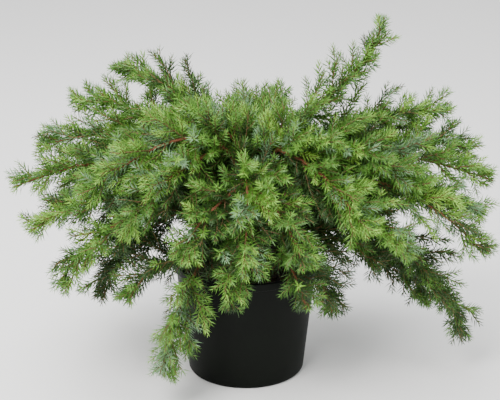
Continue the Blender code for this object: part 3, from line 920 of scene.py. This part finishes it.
class NeedleTree(GeometryTree):
    """Whorls of needles along lines, smaller and more closed towards each shoot's tip."""

    INPUTS = {
        "Whorl": "NodeSocketObject",
        "Whorl Step": "NodeSocketFloat",
        "Tip Size": "NodeSocketFloat",
        "Tip Spread": "NodeSocketFloat",
        "Seed": "NodeSocketInt",
    }
    TURN = math.radians(60)
    TURN_SPREAD = 0.35
    SMALLEST = 0.80
    LARGEST = 1.15
    CLOSING_POWER = 3.0

    def shape(self) -> bpy.types.NodeSocket:
        """Return one whorl at each step, turned against the last one.

        Returns:
            The whorls' socket.
        """
        graph = self.graph
        curve = graph.value("GeometryNodeMeshToCurve", "Curve", {"Mesh": self.given["Geometry"]})
        even = {"Curve": curve, "Length": self.given["Whorl Step"]}
        curve = graph.value("GeometryNodeResampleCurve", "Curve", even, mode="LENGTH")
        tangent = graph.value("GeometryNodeInputTangent", "Tangent")
        aim = graph.value("FunctionNodeAlignRotationToVector", "Rotation", {"Vector": tangent}, axis="Z")
        turn = graph.math("MULTIPLY", graph.value("GeometryNodeInputIndex", "Index"), self.TURN)
        turn = graph.math("ADD", turn, self.chance(-self.TURN_SPREAD, self.TURN_SPREAD))
        about = {"Axis": (0.0, 0.0, 1.0), "Angle": turn}
        turned = graph.value("FunctionNodeAxisAngleToRotation", "Rotation", about)
        both = {"Rotation": aim, "Rotate By": turned}
        rotation = graph.value("FunctionNodeRotateRotation", "Rotation", both, rotation_space="LOCAL")
        named = {"Name": "share"}
        share = graph.value("GeometryNodeInputNamedAttribute", "Attribute", named, data_type="FLOAT")
        closing = graph.math("POWER", share, self.CLOSING_POWER)
        size = self.towards(closing, "Tip Size")
        size = graph.math("MULTIPLY", size, self.chance(self.SMALLEST, self.LARGEST))
        spread = graph.math("MULTIPLY", size, self.towards(closing, "Tip Spread"))
        scale = graph.value("ShaderNodeCombineXYZ", "Vector", {"X": spread, "Y": spread, "Z": size})
        whorl = graph.value("GeometryNodeObjectInfo", "Geometry", {"Object": self.given["Whorl"]})
        return graph.value("GeometryNodeInstanceOnPoints", "Instances", {
            "Points": curve,
            "Instance": whorl,
            "Rotation": rotation,
            "Scale": scale,
        })

    def chance(self, lowest: float, highest: float) -> object:
        """Return a number drawn for each whorl."""
        limits = {"Min": lowest, "Max": highest, "Seed": self.given["Seed"]}
        return self.graph.value("FunctionNodeRandomValue", "Value", limits, data_type="FLOAT")

    def towards(self, closing: object, label: str) -> object:
        """Return a factor that falls from one to an input's value at a shoot's tip."""
        limits = {"Value": closing, "To Min": 1.0, "To Max": self.given[label]}
        return self.graph.value("ShaderNodeMapRange", "Result", limits)


class ChipTree(GeometryTree):
    """Small chips scattered over a surface, lying any way."""

    INPUTS = {
        "Chip": "NodeSocketObject",
        "Density": "NodeSocketFloat",
        "Seed": "NodeSocketInt",
    }
    TILT = 0.6
    SMALLEST = (0.35, 0.35, 0.5)
    LARGEST = (1.2, 1.0, 1.3)

    def shape(self) -> bpy.types.NodeSocket:
        """Return the chips.

        Returns:
            The chips' socket.
        """
        graph = self.graph
        seed = self.given["Seed"]
        spread = {"Mesh": self.given["Geometry"], "Density": self.given["Density"], "Seed": seed}
        points = graph.value("GeometryNodeDistributePointsOnFaces", "Points", spread)
        turns = {
            "Min": (-self.TILT, -self.TILT, -math.pi),
            "Max": (self.TILT, self.TILT, math.pi),
            "Seed": seed,
        }
        turn = graph.value("FunctionNodeRandomValue", "Value", turns, data_type="FLOAT_VECTOR")
        sizes = {"Min": self.SMALLEST, "Max": self.LARGEST, "Seed": seed}
        size = graph.value("FunctionNodeRandomValue", "Value", sizes, data_type="FLOAT_VECTOR")
        chip = graph.value("GeometryNodeObjectInfo", "Geometry", {"Object": self.given["Chip"]})
        return graph.value("GeometryNodeInstanceOnPoints", "Instances", {
            "Points": points,
            "Instance": chip,
            "Rotation": graph.value("FunctionNodeEulerToRotation", "Rotation", {"Euler": turn}),
            "Scale": size,
        })


def mottle_group() -> bpy.types.ShaderNodeTree:
    """Return the node group of cloudy variation between two colours, built once.

    Returns:
        The group.
    """
    made = bpy.data.node_groups.get("mottle")
    if made:
        return made
    tree = bpy.data.node_groups.new("mottle", "ShaderNodeTree")
    for label, kind in (
        ("Vector", "NodeSocketVector"),
        ("Scale", "NodeSocketFloat"),
        ("Contrast", "NodeSocketFloat"),
        ("Dark", "NodeSocketColor"),
        ("Light", "NodeSocketColor"),
    ):
        tree.interface.new_socket(label, in_out="INPUT", socket_type=kind)
    tree.interface.new_socket("Color", in_out="OUTPUT", socket_type="NodeSocketColor")
    tree.interface.new_socket("Mask", in_out="OUTPUT", socket_type="NodeSocketFloat")
    graph = Graph(tree)
    given = tree.nodes.new("NodeGroupInput").outputs
    clouds = {
        "Vector": given["Vector"],
        "Scale": given["Scale"],
        "Detail": MOTTLE_DETAIL,
        "Roughness": MOTTLE_ROUGHNESS,
    }
    cloud = graph.value("ShaderNodeTexNoise", "Fac", clouds)
    mask = graph.value("ShaderNodeMapRange", "Result", {
        "Value": cloud,
        "From Min": graph.math("SUBTRACT", 0.5, given["Contrast"]),
        "From Max": graph.math("ADD", 0.5, given["Contrast"]),
    })
    blend = {"Factor_Float": mask, "A_Color": given["Dark"], "B_Color": given["Light"]}
    mixed = graph.add("ShaderNodeMix", blend, data_type="RGBA")
    result = tree.nodes.new("NodeGroupOutput").inputs
    tree.links.new(find_socket(mixed.outputs, "Result_Color"), result["Color"])
    tree.links.new(mask, result["Mask"])
    return tree


@dataclass(frozen=True)
class MottledFinish:
    """A finish of two close colours in clouds, with a fine grain in relief."""

    name: str
    dark: Colour
    light: Colour
    broad_scale: float
    grain_scale: float
    contrast: float
    smoothest: float
    roughest: float
    grain_depth: float
    specular: float = 0.3
    place: Place = Place.OBJECT

    def build(self) -> bpy.types.Material:
        """Return the finish as a material.

        Returns:
            The material.
        """
        material = bpy.data.materials.new(self.name)
        material.use_nodes = True
        graph = Graph(material.node_tree)
        shader = material.node_tree.nodes["Principled BSDF"]
        if self.place is Place.OBJECT:
            vector = graph.value("ShaderNodeTexCoord", "Object")
        else:
            vector = graph.value("ShaderNodeAttribute", "Vector", attribute_name=self.place.value)
        broad = self.clouds(graph, vector, self.broad_scale)
        grain = self.clouds(graph, vector, self.grain_scale)
        limits = {"Value": broad.outputs["Mask"], "To Min": self.smoothest, "To Max": self.roughest}
        relief = {"Height": grain.outputs["Mask"], "Distance": self.grain_depth}
        graph.feed(shader, "Base Color", broad.outputs["Color"])
        graph.feed(shader, "Specular IOR Level", self.specular)
        graph.feed(shader, "Roughness", graph.value("ShaderNodeMapRange", "Result", limits))
        graph.feed(shader, "Normal", graph.value("ShaderNodeBump", "Normal", relief))
        return material

    def clouds(self, graph: Graph, vector: object, scale: float) -> bpy.types.Node:
        """Return the shared group node at one scale."""
        return graph.add("ShaderNodeGroup", {
            "Vector": vector,
            "Scale": scale,
            "Contrast": self.contrast,
            "Dark": (*self.dark, 1.0),
            "Light": (*self.light, 1.0),
        }, node_tree=mottle_group())


@dataclass(frozen=True)
class PlainFinish:
    """A finish of one colour."""

    name: str
    colour: Colour
    roughness: float
    specular: float = 0.4

    def build(self) -> bpy.types.Material:
        """Return the finish as a material.

        Returns:
            The material.
        """
        material = bpy.data.materials.new(self.name)
        material.use_nodes = True
        shader = material.node_tree.nodes["Principled BSDF"]
        shader.inputs["Base Color"].default_value = (*self.colour, 1.0)
        shader.inputs["Roughness"].default_value = self.roughness
        shader.inputs["Specular IOR Level"].default_value = self.specular
        return material


POT_FINISH = MottledFinish(
    "pot_black", dark=(0.0016, 0.0024, 0.0015), light=(0.0036, 0.0050, 0.0034), broad_scale=14.0,
    grain_scale=650.0, contrast=0.22, smoothest=0.45, roughest=0.60, grain_depth=0.00008, specular=0.08,
)
COMPOST_FINISH = MottledFinish(
    "compost_brown", dark=(0.012, 0.007, 0.004), light=(0.060, 0.034, 0.020), broad_scale=120.0,
    grain_scale=900.0, contrast=0.16, smoothest=0.80, roughest=0.98, grain_depth=0.0005,
)
CHIP_FINISH = MottledFinish(
    "compost_chips", dark=(0.030, 0.015, 0.008), light=(0.125, 0.062, 0.032), broad_scale=260.0,
    grain_scale=1400.0, contrast=0.18, smoothest=0.70, roughest=0.95, grain_depth=0.0002,
)
BARK_FINISH = MottledFinish(
    "juniper_bark", dark=(0.080, 0.026, 0.013), light=(0.300, 0.105, 0.050), broad_scale=1.6,
    grain_scale=7.0, contrast=0.20, smoothest=0.55, roughest=0.85, grain_depth=0.0003, place=Place.BARK,
)
TWIG_FINISH = PlainFinish("twig_tan", (0.145, 0.090, 0.036), 0.70)


@dataclass(frozen=True)
class NeedleSizes:
    """The sizes of one tone's needles, and their colour."""

    finish: PlainFinish
    length: float = 0.0118
    width: float = 0.0020
    thickness: float = 0.0009
    lean: float = math.radians(54)
    step: float = 0.0029
    tip_size: float = 0.62
    tip_spread: float = 0.62


NEEDLES = {
    # The painted shade tone's dark green stands for the shade inside the crown and under hanging masses
    Tone.DEEP: NeedleSizes(PlainFinish("needles_deep", (0.026, 0.068, 0.012), 0.50)),
    Tone.LEAF: NeedleSizes(PlainFinish("needles_leaf", (0.072, 0.180, 0.025), 0.46)),
    Tone.FRESH: NeedleSizes(PlainFinish("needles_fresh", (0.122, 0.280, 0.036), 0.44)),
    Tone.SILVER: NeedleSizes(PlainFinish("needles_silver", (0.165, 0.300, 0.150), 0.36, 0.5)),
    Tone.YOUNG: NeedleSizes(
        PlainFinish("needles_young", (0.235, 0.450, 0.066), 0.42), length=0.0105, lean=math.radians(44),
    ),
}


def add_object(name: str, mesh: bpy.types.Mesh) -> bpy.types.Object:
    """Add an object for a mesh to the scene, at the origin.

    Args:
        name: The object's name.
        mesh: Its mesh.

    Returns:
        The object.
    """
    item = bpy.data.objects.new(name, mesh)
    bpy.context.scene.collection.objects.link(item)
    return item


def dress(piece: bpy.types.Object, nodes: list[str]) -> None:
    """Tie a finished piece to the frame and report it.

    Args:
        piece: The piece.
        nodes: The nodes that it stands for.
    """
    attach(piece, BODY)
    if nodes:
        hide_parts(*nodes)
    faces = sum(len(polygon.vertices) - 2 for polygon in piece.data.polygons)
    LOG.info("%s: %d triangles", piece.name, faces)


def lathe(name: str, profile: list[tuple[float, float]], sides: int) -> bpy.types.Mesh:
    """Return a profile turned round the pot's axis, closed at both ends.

    Args:
        name: The mesh's name.
        profile: Radius and height of each point, from the underside round to the inside.
        sides: How many flats go round.

    Returns:
        The mesh, with its faces pointing out.
    """
    shape = bmesh.new()
    rings = []
    for radius, height in profile:
        angles = [2 * math.pi * index / sides for index in range(sides)]
        rings.append([shape.verts.new((radius * math.cos(a), radius * math.sin(a), height)) for a in angles])
    for low, high in zip(rings, rings[1:]):
        for index in range(sides):
            following = (index + 1) % sides
            shape.faces.new((low[index], low[following], high[following], high[index]))
    shape.faces.new(rings[0])
    shape.faces.new(rings[-1])
    bmesh.ops.recalc_face_normals(shape, faces=shape.faces)
    mesh = bpy.data.meshes.new(name)
    shape.to_mesh(mesh)
    shape.free()
    return mesh


def wire_mesh(name: str, lines: list[np.ndarray], label: str, values: list[np.ndarray]) -> bpy.types.Mesh:
    """Return lines as bare edges, with a value at each point.

    Args:
        name: The mesh's name.
        lines: The points of each line.
        label: The value's name.
        values: The value at each point of each line.

    Returns:
        The mesh.
    """
    points = np.concatenate(lines)
    starts = np.cumsum([0] + [len(line) for line in lines])
    firsts = np.delete(np.arange(len(points)), starts[1:] - 1)
    mesh = bpy.data.meshes.new(name)
    mesh.vertices.add(len(points))
    mesh.vertices.foreach_set("co", points.astype(np.float32).ravel())
    mesh.edges.add(len(firsts))
    mesh.edges.foreach_set("vertices", np.stack((firsts, firsts + 1), axis=1).astype(np.int32).ravel())
    attribute = mesh.attributes.new(label, "FLOAT", "POINT")
    attribute.data.foreach_set("value", np.concatenate(values).astype(np.float32))
    mesh.update()
    return mesh


@dataclass(frozen=True)
class NurseryPot:
    """The tapered black pot: soft foot, plain wall, and a band under its rolled lip."""

    sizes: PotSizes
    sides: int = 128
    arc_steps: int = 6
    sharp_angle: float = math.radians(38)

    def build(self) -> None:
        """Make the pot and dress it."""
        pot = add_object("pot_shell", lathe("pot_shell", self.profile(), self.sides))
        pot.data.materials.append(POT_FINISH.build())
        pot.data.shade_smooth()
        pot.data.set_sharp_from_angle(angle=self.sharp_angle)
        dress(pot, ["pot"])

    def arc(
        self, centre: tuple[float, float], radius: float, start: float, end: float
    ) -> list[tuple[float, float]]:
        """Return the points of an arc in the profile, from one angle in degrees to another."""
        steps = range(self.arc_steps + 1)
        angles = [math.radians(start + (end - start) * step / self.arc_steps) for step in steps]
        return [(centre[0] + radius * math.cos(a), centre[1] + radius * math.sin(a)) for a in angles]

    def profile(self) -> list[tuple[float, float]]:
        """Return the wall's outline, from the underside round the lip to the inside floor.

        Returns:
            Radius and height of each point.
        """
        sizes = self.sizes
        corner = sizes.corner
        band = sizes.height - sizes.rim_height
        rim = sizes.top_radius + sizes.rim_proud
        inner = sizes.top_radius - sizes.wall
        points = self.arc((sizes.radius(corner) - corner, corner), corner, -90, 0)
        points.append((float(sizes.radius(band)), band))
        points.extend(self.arc((rim - sizes.lip, band + sizes.lip * 2), sizes.lip, -70, 0))
        points.extend(self.arc((rim - sizes.lip, sizes.height - sizes.lip), sizes.lip, 0, 90))
        points.extend(self.arc((inner + sizes.lip, sizes.height - sizes.lip), sizes.lip, 90, 180))
        points.append((float(sizes.radius(sizes.floor)) - sizes.wall, sizes.floor))
        return [(float(radius), float(height)) for radius, height in points]


@dataclass(frozen=True)
class Compost:
    """The moist compost that fills the pot, with lumps and chips of bark on top."""

    pot: PotSizes
    edge_height: float = 0.136
    top_height: float = 0.140
    depth: float = 0.030
    clearance: float = 0.0006
    rings: int = 30
    sides: int = 110
    lump: float = 0.0016
    lump_scale: float = 90.0
    lump_octaves: int = 4
    chip: tuple[float, float, float] = (0.0050, 0.0022, 0.0008)
    chip_taper: float = 0.8
    chip_density: float = 42000.0
    chip_seed: int = 7

    def build(self) -> None:
        """Make the compost and its chips and dress them."""
        surface = add_object("compost_lumps", self.surface_mesh(closed=True))
        surface.data.materials.append(COMPOST_FINISH.build())
        surface.data.shade_smooth()
        dress(surface, ["compost"])
        chip = bpy.data.objects.new("chip", self.chip_mesh())
        chips = add_object("compost_chips", self.surface_mesh(closed=False))
        values = {"Chip": chip, "Density": self.chip_density, "Seed": self.chip_seed}
        ChipTree("chip_scatter").run(chips, CHIP_FINISH.build(), values)
        bpy.data.objects.remove(chip)
        dress(chips, ["compost"])

    def surface_mesh(self, closed: bool) -> bpy.types.Mesh:
        """Return the lumpy top, alone or as the lid of a plug.

        Args:
            closed: Whether it is the lid of a plug.

        Returns:
            The mesh.
        """
        radius = float(self.pot.radius(self.edge_height)) - self.pot.wall - self.clearance
        shape = bmesh.new()
        centre = shape.verts.new((0.0, 0.0, self.top_height))
        rings = [[
            self.surface_point(shape, radius * ring / self.rings, 2 * math.pi * side / self.sides, radius)
            for side in range(self.sides)
        ] for ring in range(1, self.rings + 1)]
        for side in range(self.sides):
            shape.faces.new((centre, rings[0][side], rings[0][(side + 1) % self.sides]))
        if closed:
            bottom = self.edge_height - self.depth
            taper = (float(self.pot.radius(bottom)) - self.pot.wall - self.clearance) / radius
            rings.append([
                shape.verts.new((corner.co.x * taper, corner.co.y * taper, bottom)) for corner in rings[-1]
            ])
            shape.faces.new(list(reversed(rings[-1])))
        for low, high in zip(rings, rings[1:]):
            for side in range(self.sides):
                following = (side + 1) % self.sides
                shape.faces.new((low[side], high[side], high[following], low[following]))
        mesh = bpy.data.meshes.new("compost")
        shape.to_mesh(mesh)
        shape.free()
        return mesh

    def surface_point(
        self, shape: bmesh.types.BMesh, level: float, angle: float, radius: float
    ) -> bmesh.types.BMVert:
        """Return a new point of the top at a distance and an angle from the axis.

        Args:
            shape: The mesh in the making.
            level: The distance.
            angle: The angle in radians.
            radius: The top's radius.

        Returns:
            The point.
        """
        place = Vector((level * math.cos(angle), level * math.sin(angle), 0.0))
        place.z = self.top_height + (self.edge_height - self.top_height) * (level / radius) ** 2
        place.z += self.lump * noise.fractal(place * self.lump_scale, 1.0, 2.0, self.lump_octaves)
        return shape.verts.new(place)

    def chip_mesh(self) -> bpy.types.Mesh:
        """Return one flat chip with cut corners.

        Returns:
            The mesh.
        """
        shape = bmesh.new()
        bmesh.ops.create_cube(shape, size=1.0)
        for corner in shape.verts:
            corner.co.x *= self.chip[0] * (self.chip_taper if corner.co.y > 0 else 1.0)
            corner.co.y *= self.chip[1]
            corner.co.z *= self.chip[2]
        mesh = bpy.data.meshes.new("chip")
        shape.to_mesh(mesh)
        shape.free()
        return mesh


class Wood:
    """The trunk, the boughs, the stems and the fine twigs."""

    TRUNK_SIDES = 20
    TRUNK_STEP = 0.0016
    TRUNK_RELIEF = 0.0022
    TRUNK_SINK = 0.002
    LIMB_SIDES = 10
    LIMB_STEP = 0.0026
    LIMB_RELIEF = 0.0011
    TWIG_SIDES = 4
    TWIG_STEP = 0.010
    BOUGH_ROOT = 0.010
    FORK_ROOT = 0.006
    STEM_ROOT = 0.003

    def __init__(self, skeleton: Skeleton) -> None:
        """Prepare the tree and the bark that all wood shares."""
        self.skeleton = skeleton
        self.tree = LimbTree("limb_tubes")
        self.bark = BARK_FINISH.build()
        self.twig = TWIG_FINISH.build()

    def build(self, growth: Growth) -> None:
        """Make and dress every piece of wood.

        Args:
            growth: The crown's twigs and shoots.
        """
        skeleton = self.skeleton
        trunk_shape = {"Sides": self.TRUNK_SIDES, "Ring Step": self.TRUNK_STEP, "Relief": self.TRUNK_RELIEF}
        self.tubes("trunk_bark", [self.trunk_line()], trunk_shape, self.bark, ["trunk"])
        limb_shape = {"Sides": self.LIMB_SIDES, "Ring Step": self.LIMB_STEP, "Relief": self.LIMB_RELIEF}
        boughs = [self.bough_line(path) for path in skeleton.boughs.values()]
        nodes = ["bough_" + name for name in skeleton.boughs]
        self.tubes("boughs_bark", boughs, limb_shape, self.bark, nodes)
        for sector in Sector:
            names = [name for name in skeleton.stems if Sector.of(skeleton.azimuths[name]) is sector]
            nodes = ["foliage_" + name for name in names]
            stems = [self.stem_line(name) for name in names]
            self.tubes("stems_" + sector.value, stems, limb_shape, self.bark, nodes)
            fine = {"Sides": self.TWIG_SIDES, "Ring Step": self.TWIG_STEP, "Relief": 0.0}
            self.tubes("twigs_" + sector.value, growth.wood[sector], fine, self.twig, nodes)

    def tubes(
        self,
        name: str,
        lines: list[WoodLine],
        shape: dict[str, object],
        finish: bpy.types.Material,
        nodes: list[str],
    ) -> None:
        """Make one piece of tubes round lines and dress it.

        Args:
            name: The piece's name.
            lines: The lines and their radii.
            shape: The tree's sizes.
            finish: The material.
            nodes: The nodes that the piece stands for.
        """
        girths = [line.girths for line in lines]
        piece = add_object(name, wire_mesh(name, [line.points for line in lines], "girth", girths))
        self.tree.run(piece, finish, shape)
        dress(piece, nodes)

    def trunk_line(self) -> WoodLine:
        """Return the trunk's line, sunk a little in the compost.

        Returns:
            The line and its radii.
        """
        path = self.skeleton.trunk.path()
        rooted = path.rooted(self.TRUNK_SINK)
        shares = np.clip((rooted.marks - self.TRUNK_SINK) / path.length, 0.0, 1.0)
        return WoodLine(rooted.points, self.skeleton.trunk.radius_at(shares))

    def bough_line(self, path: Path) -> WoodLine:
        """Return a bough's line, carried back into the trunk, with a collar where it leaves.

        Args:
            path: The bough's centre line.

        Returns:
            The line and its radii.
        """
        sizes = self.skeleton.sizes
        rooted = path.rooted(self.BOUGH_ROOT)
        marks = np.clip(rooted.marks - self.BOUGH_ROOT, 0.0, None)
        collar = sizes.collar * np.exp(-marks / sizes.collar_reach)
        return WoodLine(rooted.points, sizes.bough_radius_at(marks / path.length) + collar)

    def stem_line(self, name: str) -> WoodLine:
        """Return a stem's line, carried back into its bough or the trunk.

        Args:
            name: The stem's name.

        Returns:
            The line and its radii.
        """
        sizes = self.skeleton.sizes
        forked = name.endswith("fork")
        from_trunk = not forked and name not in self.skeleton.boughs
        depth = self.BOUGH_ROOT if from_trunk else self.FORK_ROOT if forked else self.STEM_ROOT
        rooted = self.skeleton.stems[name].rooted(depth)
        shares = rooted.marks / rooted.length
        root = sizes.stem_radius if forked else sizes.bough_tip_radius
        return WoodLine(rooted.points, root + (sizes.stem_tip_radius - root) * shares)


class Foliage:
    """The needles of the whole crown, joined by tone and quarter."""

    NEEDLES_PER_WHORL = 3
    WIDEST = 0.35
    CURL = 0.10
    ROOT = 0.0004

    def __init__(self, skeleton: Skeleton) -> None:
        """Prepare the tree that all needles share."""
        self.skeleton = skeleton
        self.tree = NeedleTree("needle_whorls")

    def build(self, growth: Growth) -> None:
        """Make and dress the needles.

        Args:
            growth: The crown's sprays.
        """
        for seed, tone in enumerate(Tone):
            sizes = NEEDLES[tone]
            material = sizes.finish.build()
            whorl = bpy.data.objects.new("whorl", self.whorl_mesh(sizes))
            values = {
                "Whorl": whorl,
                "Whorl Step": sizes.step,
                "Tip Size": sizes.tip_size,
                "Tip Spread": sizes.tip_spread,
                "Seed": seed,
            }
            for sector in Sector:
                lines = growth.sprays.get((tone, sector), [])
                if lines:
                    self.build_piece(tone, sector, lines, material, values)
            bpy.data.objects.remove(whorl)

    def build_piece(
        self,
        tone: Tone,
        sector: Sector,
        lines: list[SprayLine],
        finish: bpy.types.Material,
        values: dict[str, object],
    ) -> None:
        """Make one tone's needles in one quarter and dress them.

        Args:
            tone: The needles' tone.
            sector: The quarter of the crown.
            lines: The lines that bear them.
            finish: The material.
            values: The tree's inputs.
        """
        name = f"needles_{tone.value}_{sector.value}"
        shares = [line.shares for line in lines]
        piece = add_object(name, wire_mesh(name, [line.points for line in lines], "share", shares))
        self.tree.run(piece, finish, values)
        azimuths = self.skeleton.azimuths
        nodes = ["foliage_" + stem for stem in self.skeleton.stems if Sector.of(azimuths[stem]) is sector]
        dress(piece, nodes)

    def whorl_mesh(self, sizes: NeedleSizes) -> bpy.types.Mesh:
        """Return three needles round the Z axis, each a slim body of six faces.

        Args:
            sizes: The needles' sizes.

        Returns:
            The mesh of one whorl.
        """
        shape = bmesh.new()
        for index in range(self.NEEDLES_PER_WHORL):
            angle = 2 * math.pi * index / self.NEEDLES_PER_WHORL
            out = Vector((math.cos(angle), math.sin(angle), 0.0))
            along = out * math.sin(sizes.lean) + Vector((0.0, 0.0, math.cos(sizes.lean)))
            across = out.cross(Vector((0.0, 0.0, 1.0)))
            above = along.cross(across)
            root = shape.verts.new(out * self.ROOT)
            tip = shape.verts.new(along * sizes.length + Vector((0.0, 0.0, sizes.length * self.CURL)))
            middle = along * sizes.length * self.WIDEST
            edges = (
                shape.verts.new(middle + across * sizes.width / 2),
                shape.verts.new(middle - across * sizes.width / 2),
                shape.verts.new(middle + above * sizes.thickness),
            )
            for first, second in ((0, 1), (1, 2), (2, 0)):
                shape.faces.new((root, edges[first], edges[second]))
                shape.faces.new((tip, edges[second], edges[first]))
        bmesh.ops.recalc_face_normals(shape, faces=shape.faces)
        mesh = bpy.data.meshes.new("whorl")
        shape.to_mesh(mesh)
        shape.free()
        return mesh


@dataclass(frozen=True)
class SoftLight:
    """One large lamp: its place, its width, its power and its colour."""

    name: str
    place: tuple[float, float, float]
    width: float
    power: float
    colour: Colour = (1.0, 1.0, 1.0)


@dataclass(frozen=True)
class Studio:
    """The pale floor, the soft lamps and the camera."""

    floor_size: float = 24.0
    floor_colour: Colour = (0.86, 0.86, 0.86)
    world_colour: Colour = (1.0, 1.0, 1.0)
    world_strength: float = 1.0
    aim: tuple[float, float, float] = (0.005, 0.0, 0.226)
    distance: float = 2.0
    elevation: float = math.radians(20)
    lens: float = 115.2
    sensor: float = 36.0
    lamps: tuple[SoftLight, ...] = (
        SoftLight("key", (-0.9, -1.5, 2.1), 1.4, 105.0, (1.0, 0.98, 0.95)),
        SoftLight("fill", (1.6, -1.2, 1.2), 1.6, 12.0),
        SoftLight("top", (-0.4, 0.3, 2.2), 1.6, 50.0),
    )

    def build(self) -> None:
        """Make the floor, the lamps, the world and the camera."""
        self.build_floor()
        for lamp in self.lamps:
            self.build_lamp(lamp)
        world = bpy.data.worlds.new("studio")
        world.use_nodes = True
        background = world.node_tree.nodes["Background"]
        background.inputs["Color"].default_value = (*self.world_colour, 1.0)
        background.inputs["Strength"].default_value = self.world_strength
        bpy.context.scene.world = world
        self.build_camera()

    def build_floor(self) -> None:
        """Make the floor that the pot stands on."""
        half = self.floor_size / 2
        corners = [(-half, -half, 0.0), (half, -half, 0.0), (half, half, 0.0), (-half, half, 0.0)]
        mesh = bpy.data.meshes.new("floor")
        mesh.from_pydata(corners, [], [(0, 1, 2, 3)])
        mesh.materials.append(PlainFinish("floor_pale", self.floor_colour, 0.9, 0.1).build())
        add_object("floor", mesh)

    def build_lamp(self, lamp: SoftLight) -> None:
        """Make one square lamp that faces the plant.

        Args:
            lamp: The lamp's place and power.
        """
        light = bpy.data.lights.new(lamp.name, "AREA")
        light.size = lamp.width
        light.energy = lamp.power
        light.color = lamp.colour
        item = bpy.data.objects.new(lamp.name, light)
        item.location = lamp.place
        item.rotation_euler = (Vector(self.aim) - Vector(lamp.place)).to_track_quat("-Z", "Y").to_euler()
        bpy.context.scene.collection.objects.link(item)

    def build_camera(self) -> None:
        """Make the camera at the photograph's angle, in front of the plant and above it."""
        camera = bpy.data.cameras.new("camera")
        camera.lens = self.lens
        camera.sensor_width = self.sensor
        item = bpy.data.objects.new("camera", camera)
        back = Vector((0.0, -math.cos(self.elevation), math.sin(self.elevation)))
        item.location = Vector(self.aim) + back * self.distance
        item.rotation_euler = (math.pi / 2 - self.elevation, 0.0, 0.0)
        bpy.context.scene.collection.objects.link(item)
        bpy.context.scene.camera = item


def main() -> None:
    """Build the pot, the compost, the plant and the studio round the frame."""
    logging.basicConfig(level=logging.INFO, format="%(name)s: %(message)s")
    pot = PotSizes()
    skeleton = Skeleton(TrunkSizes(), LimbSizes())
    NurseryPot(pot).build()
    Compost(pot).build()
    growth = Growth(skeleton, pot)
    Wood(skeleton).build(growth)
    Foliage(skeleton).build(growth)
    Studio().build()


if __name__ == "__main__":
    main()
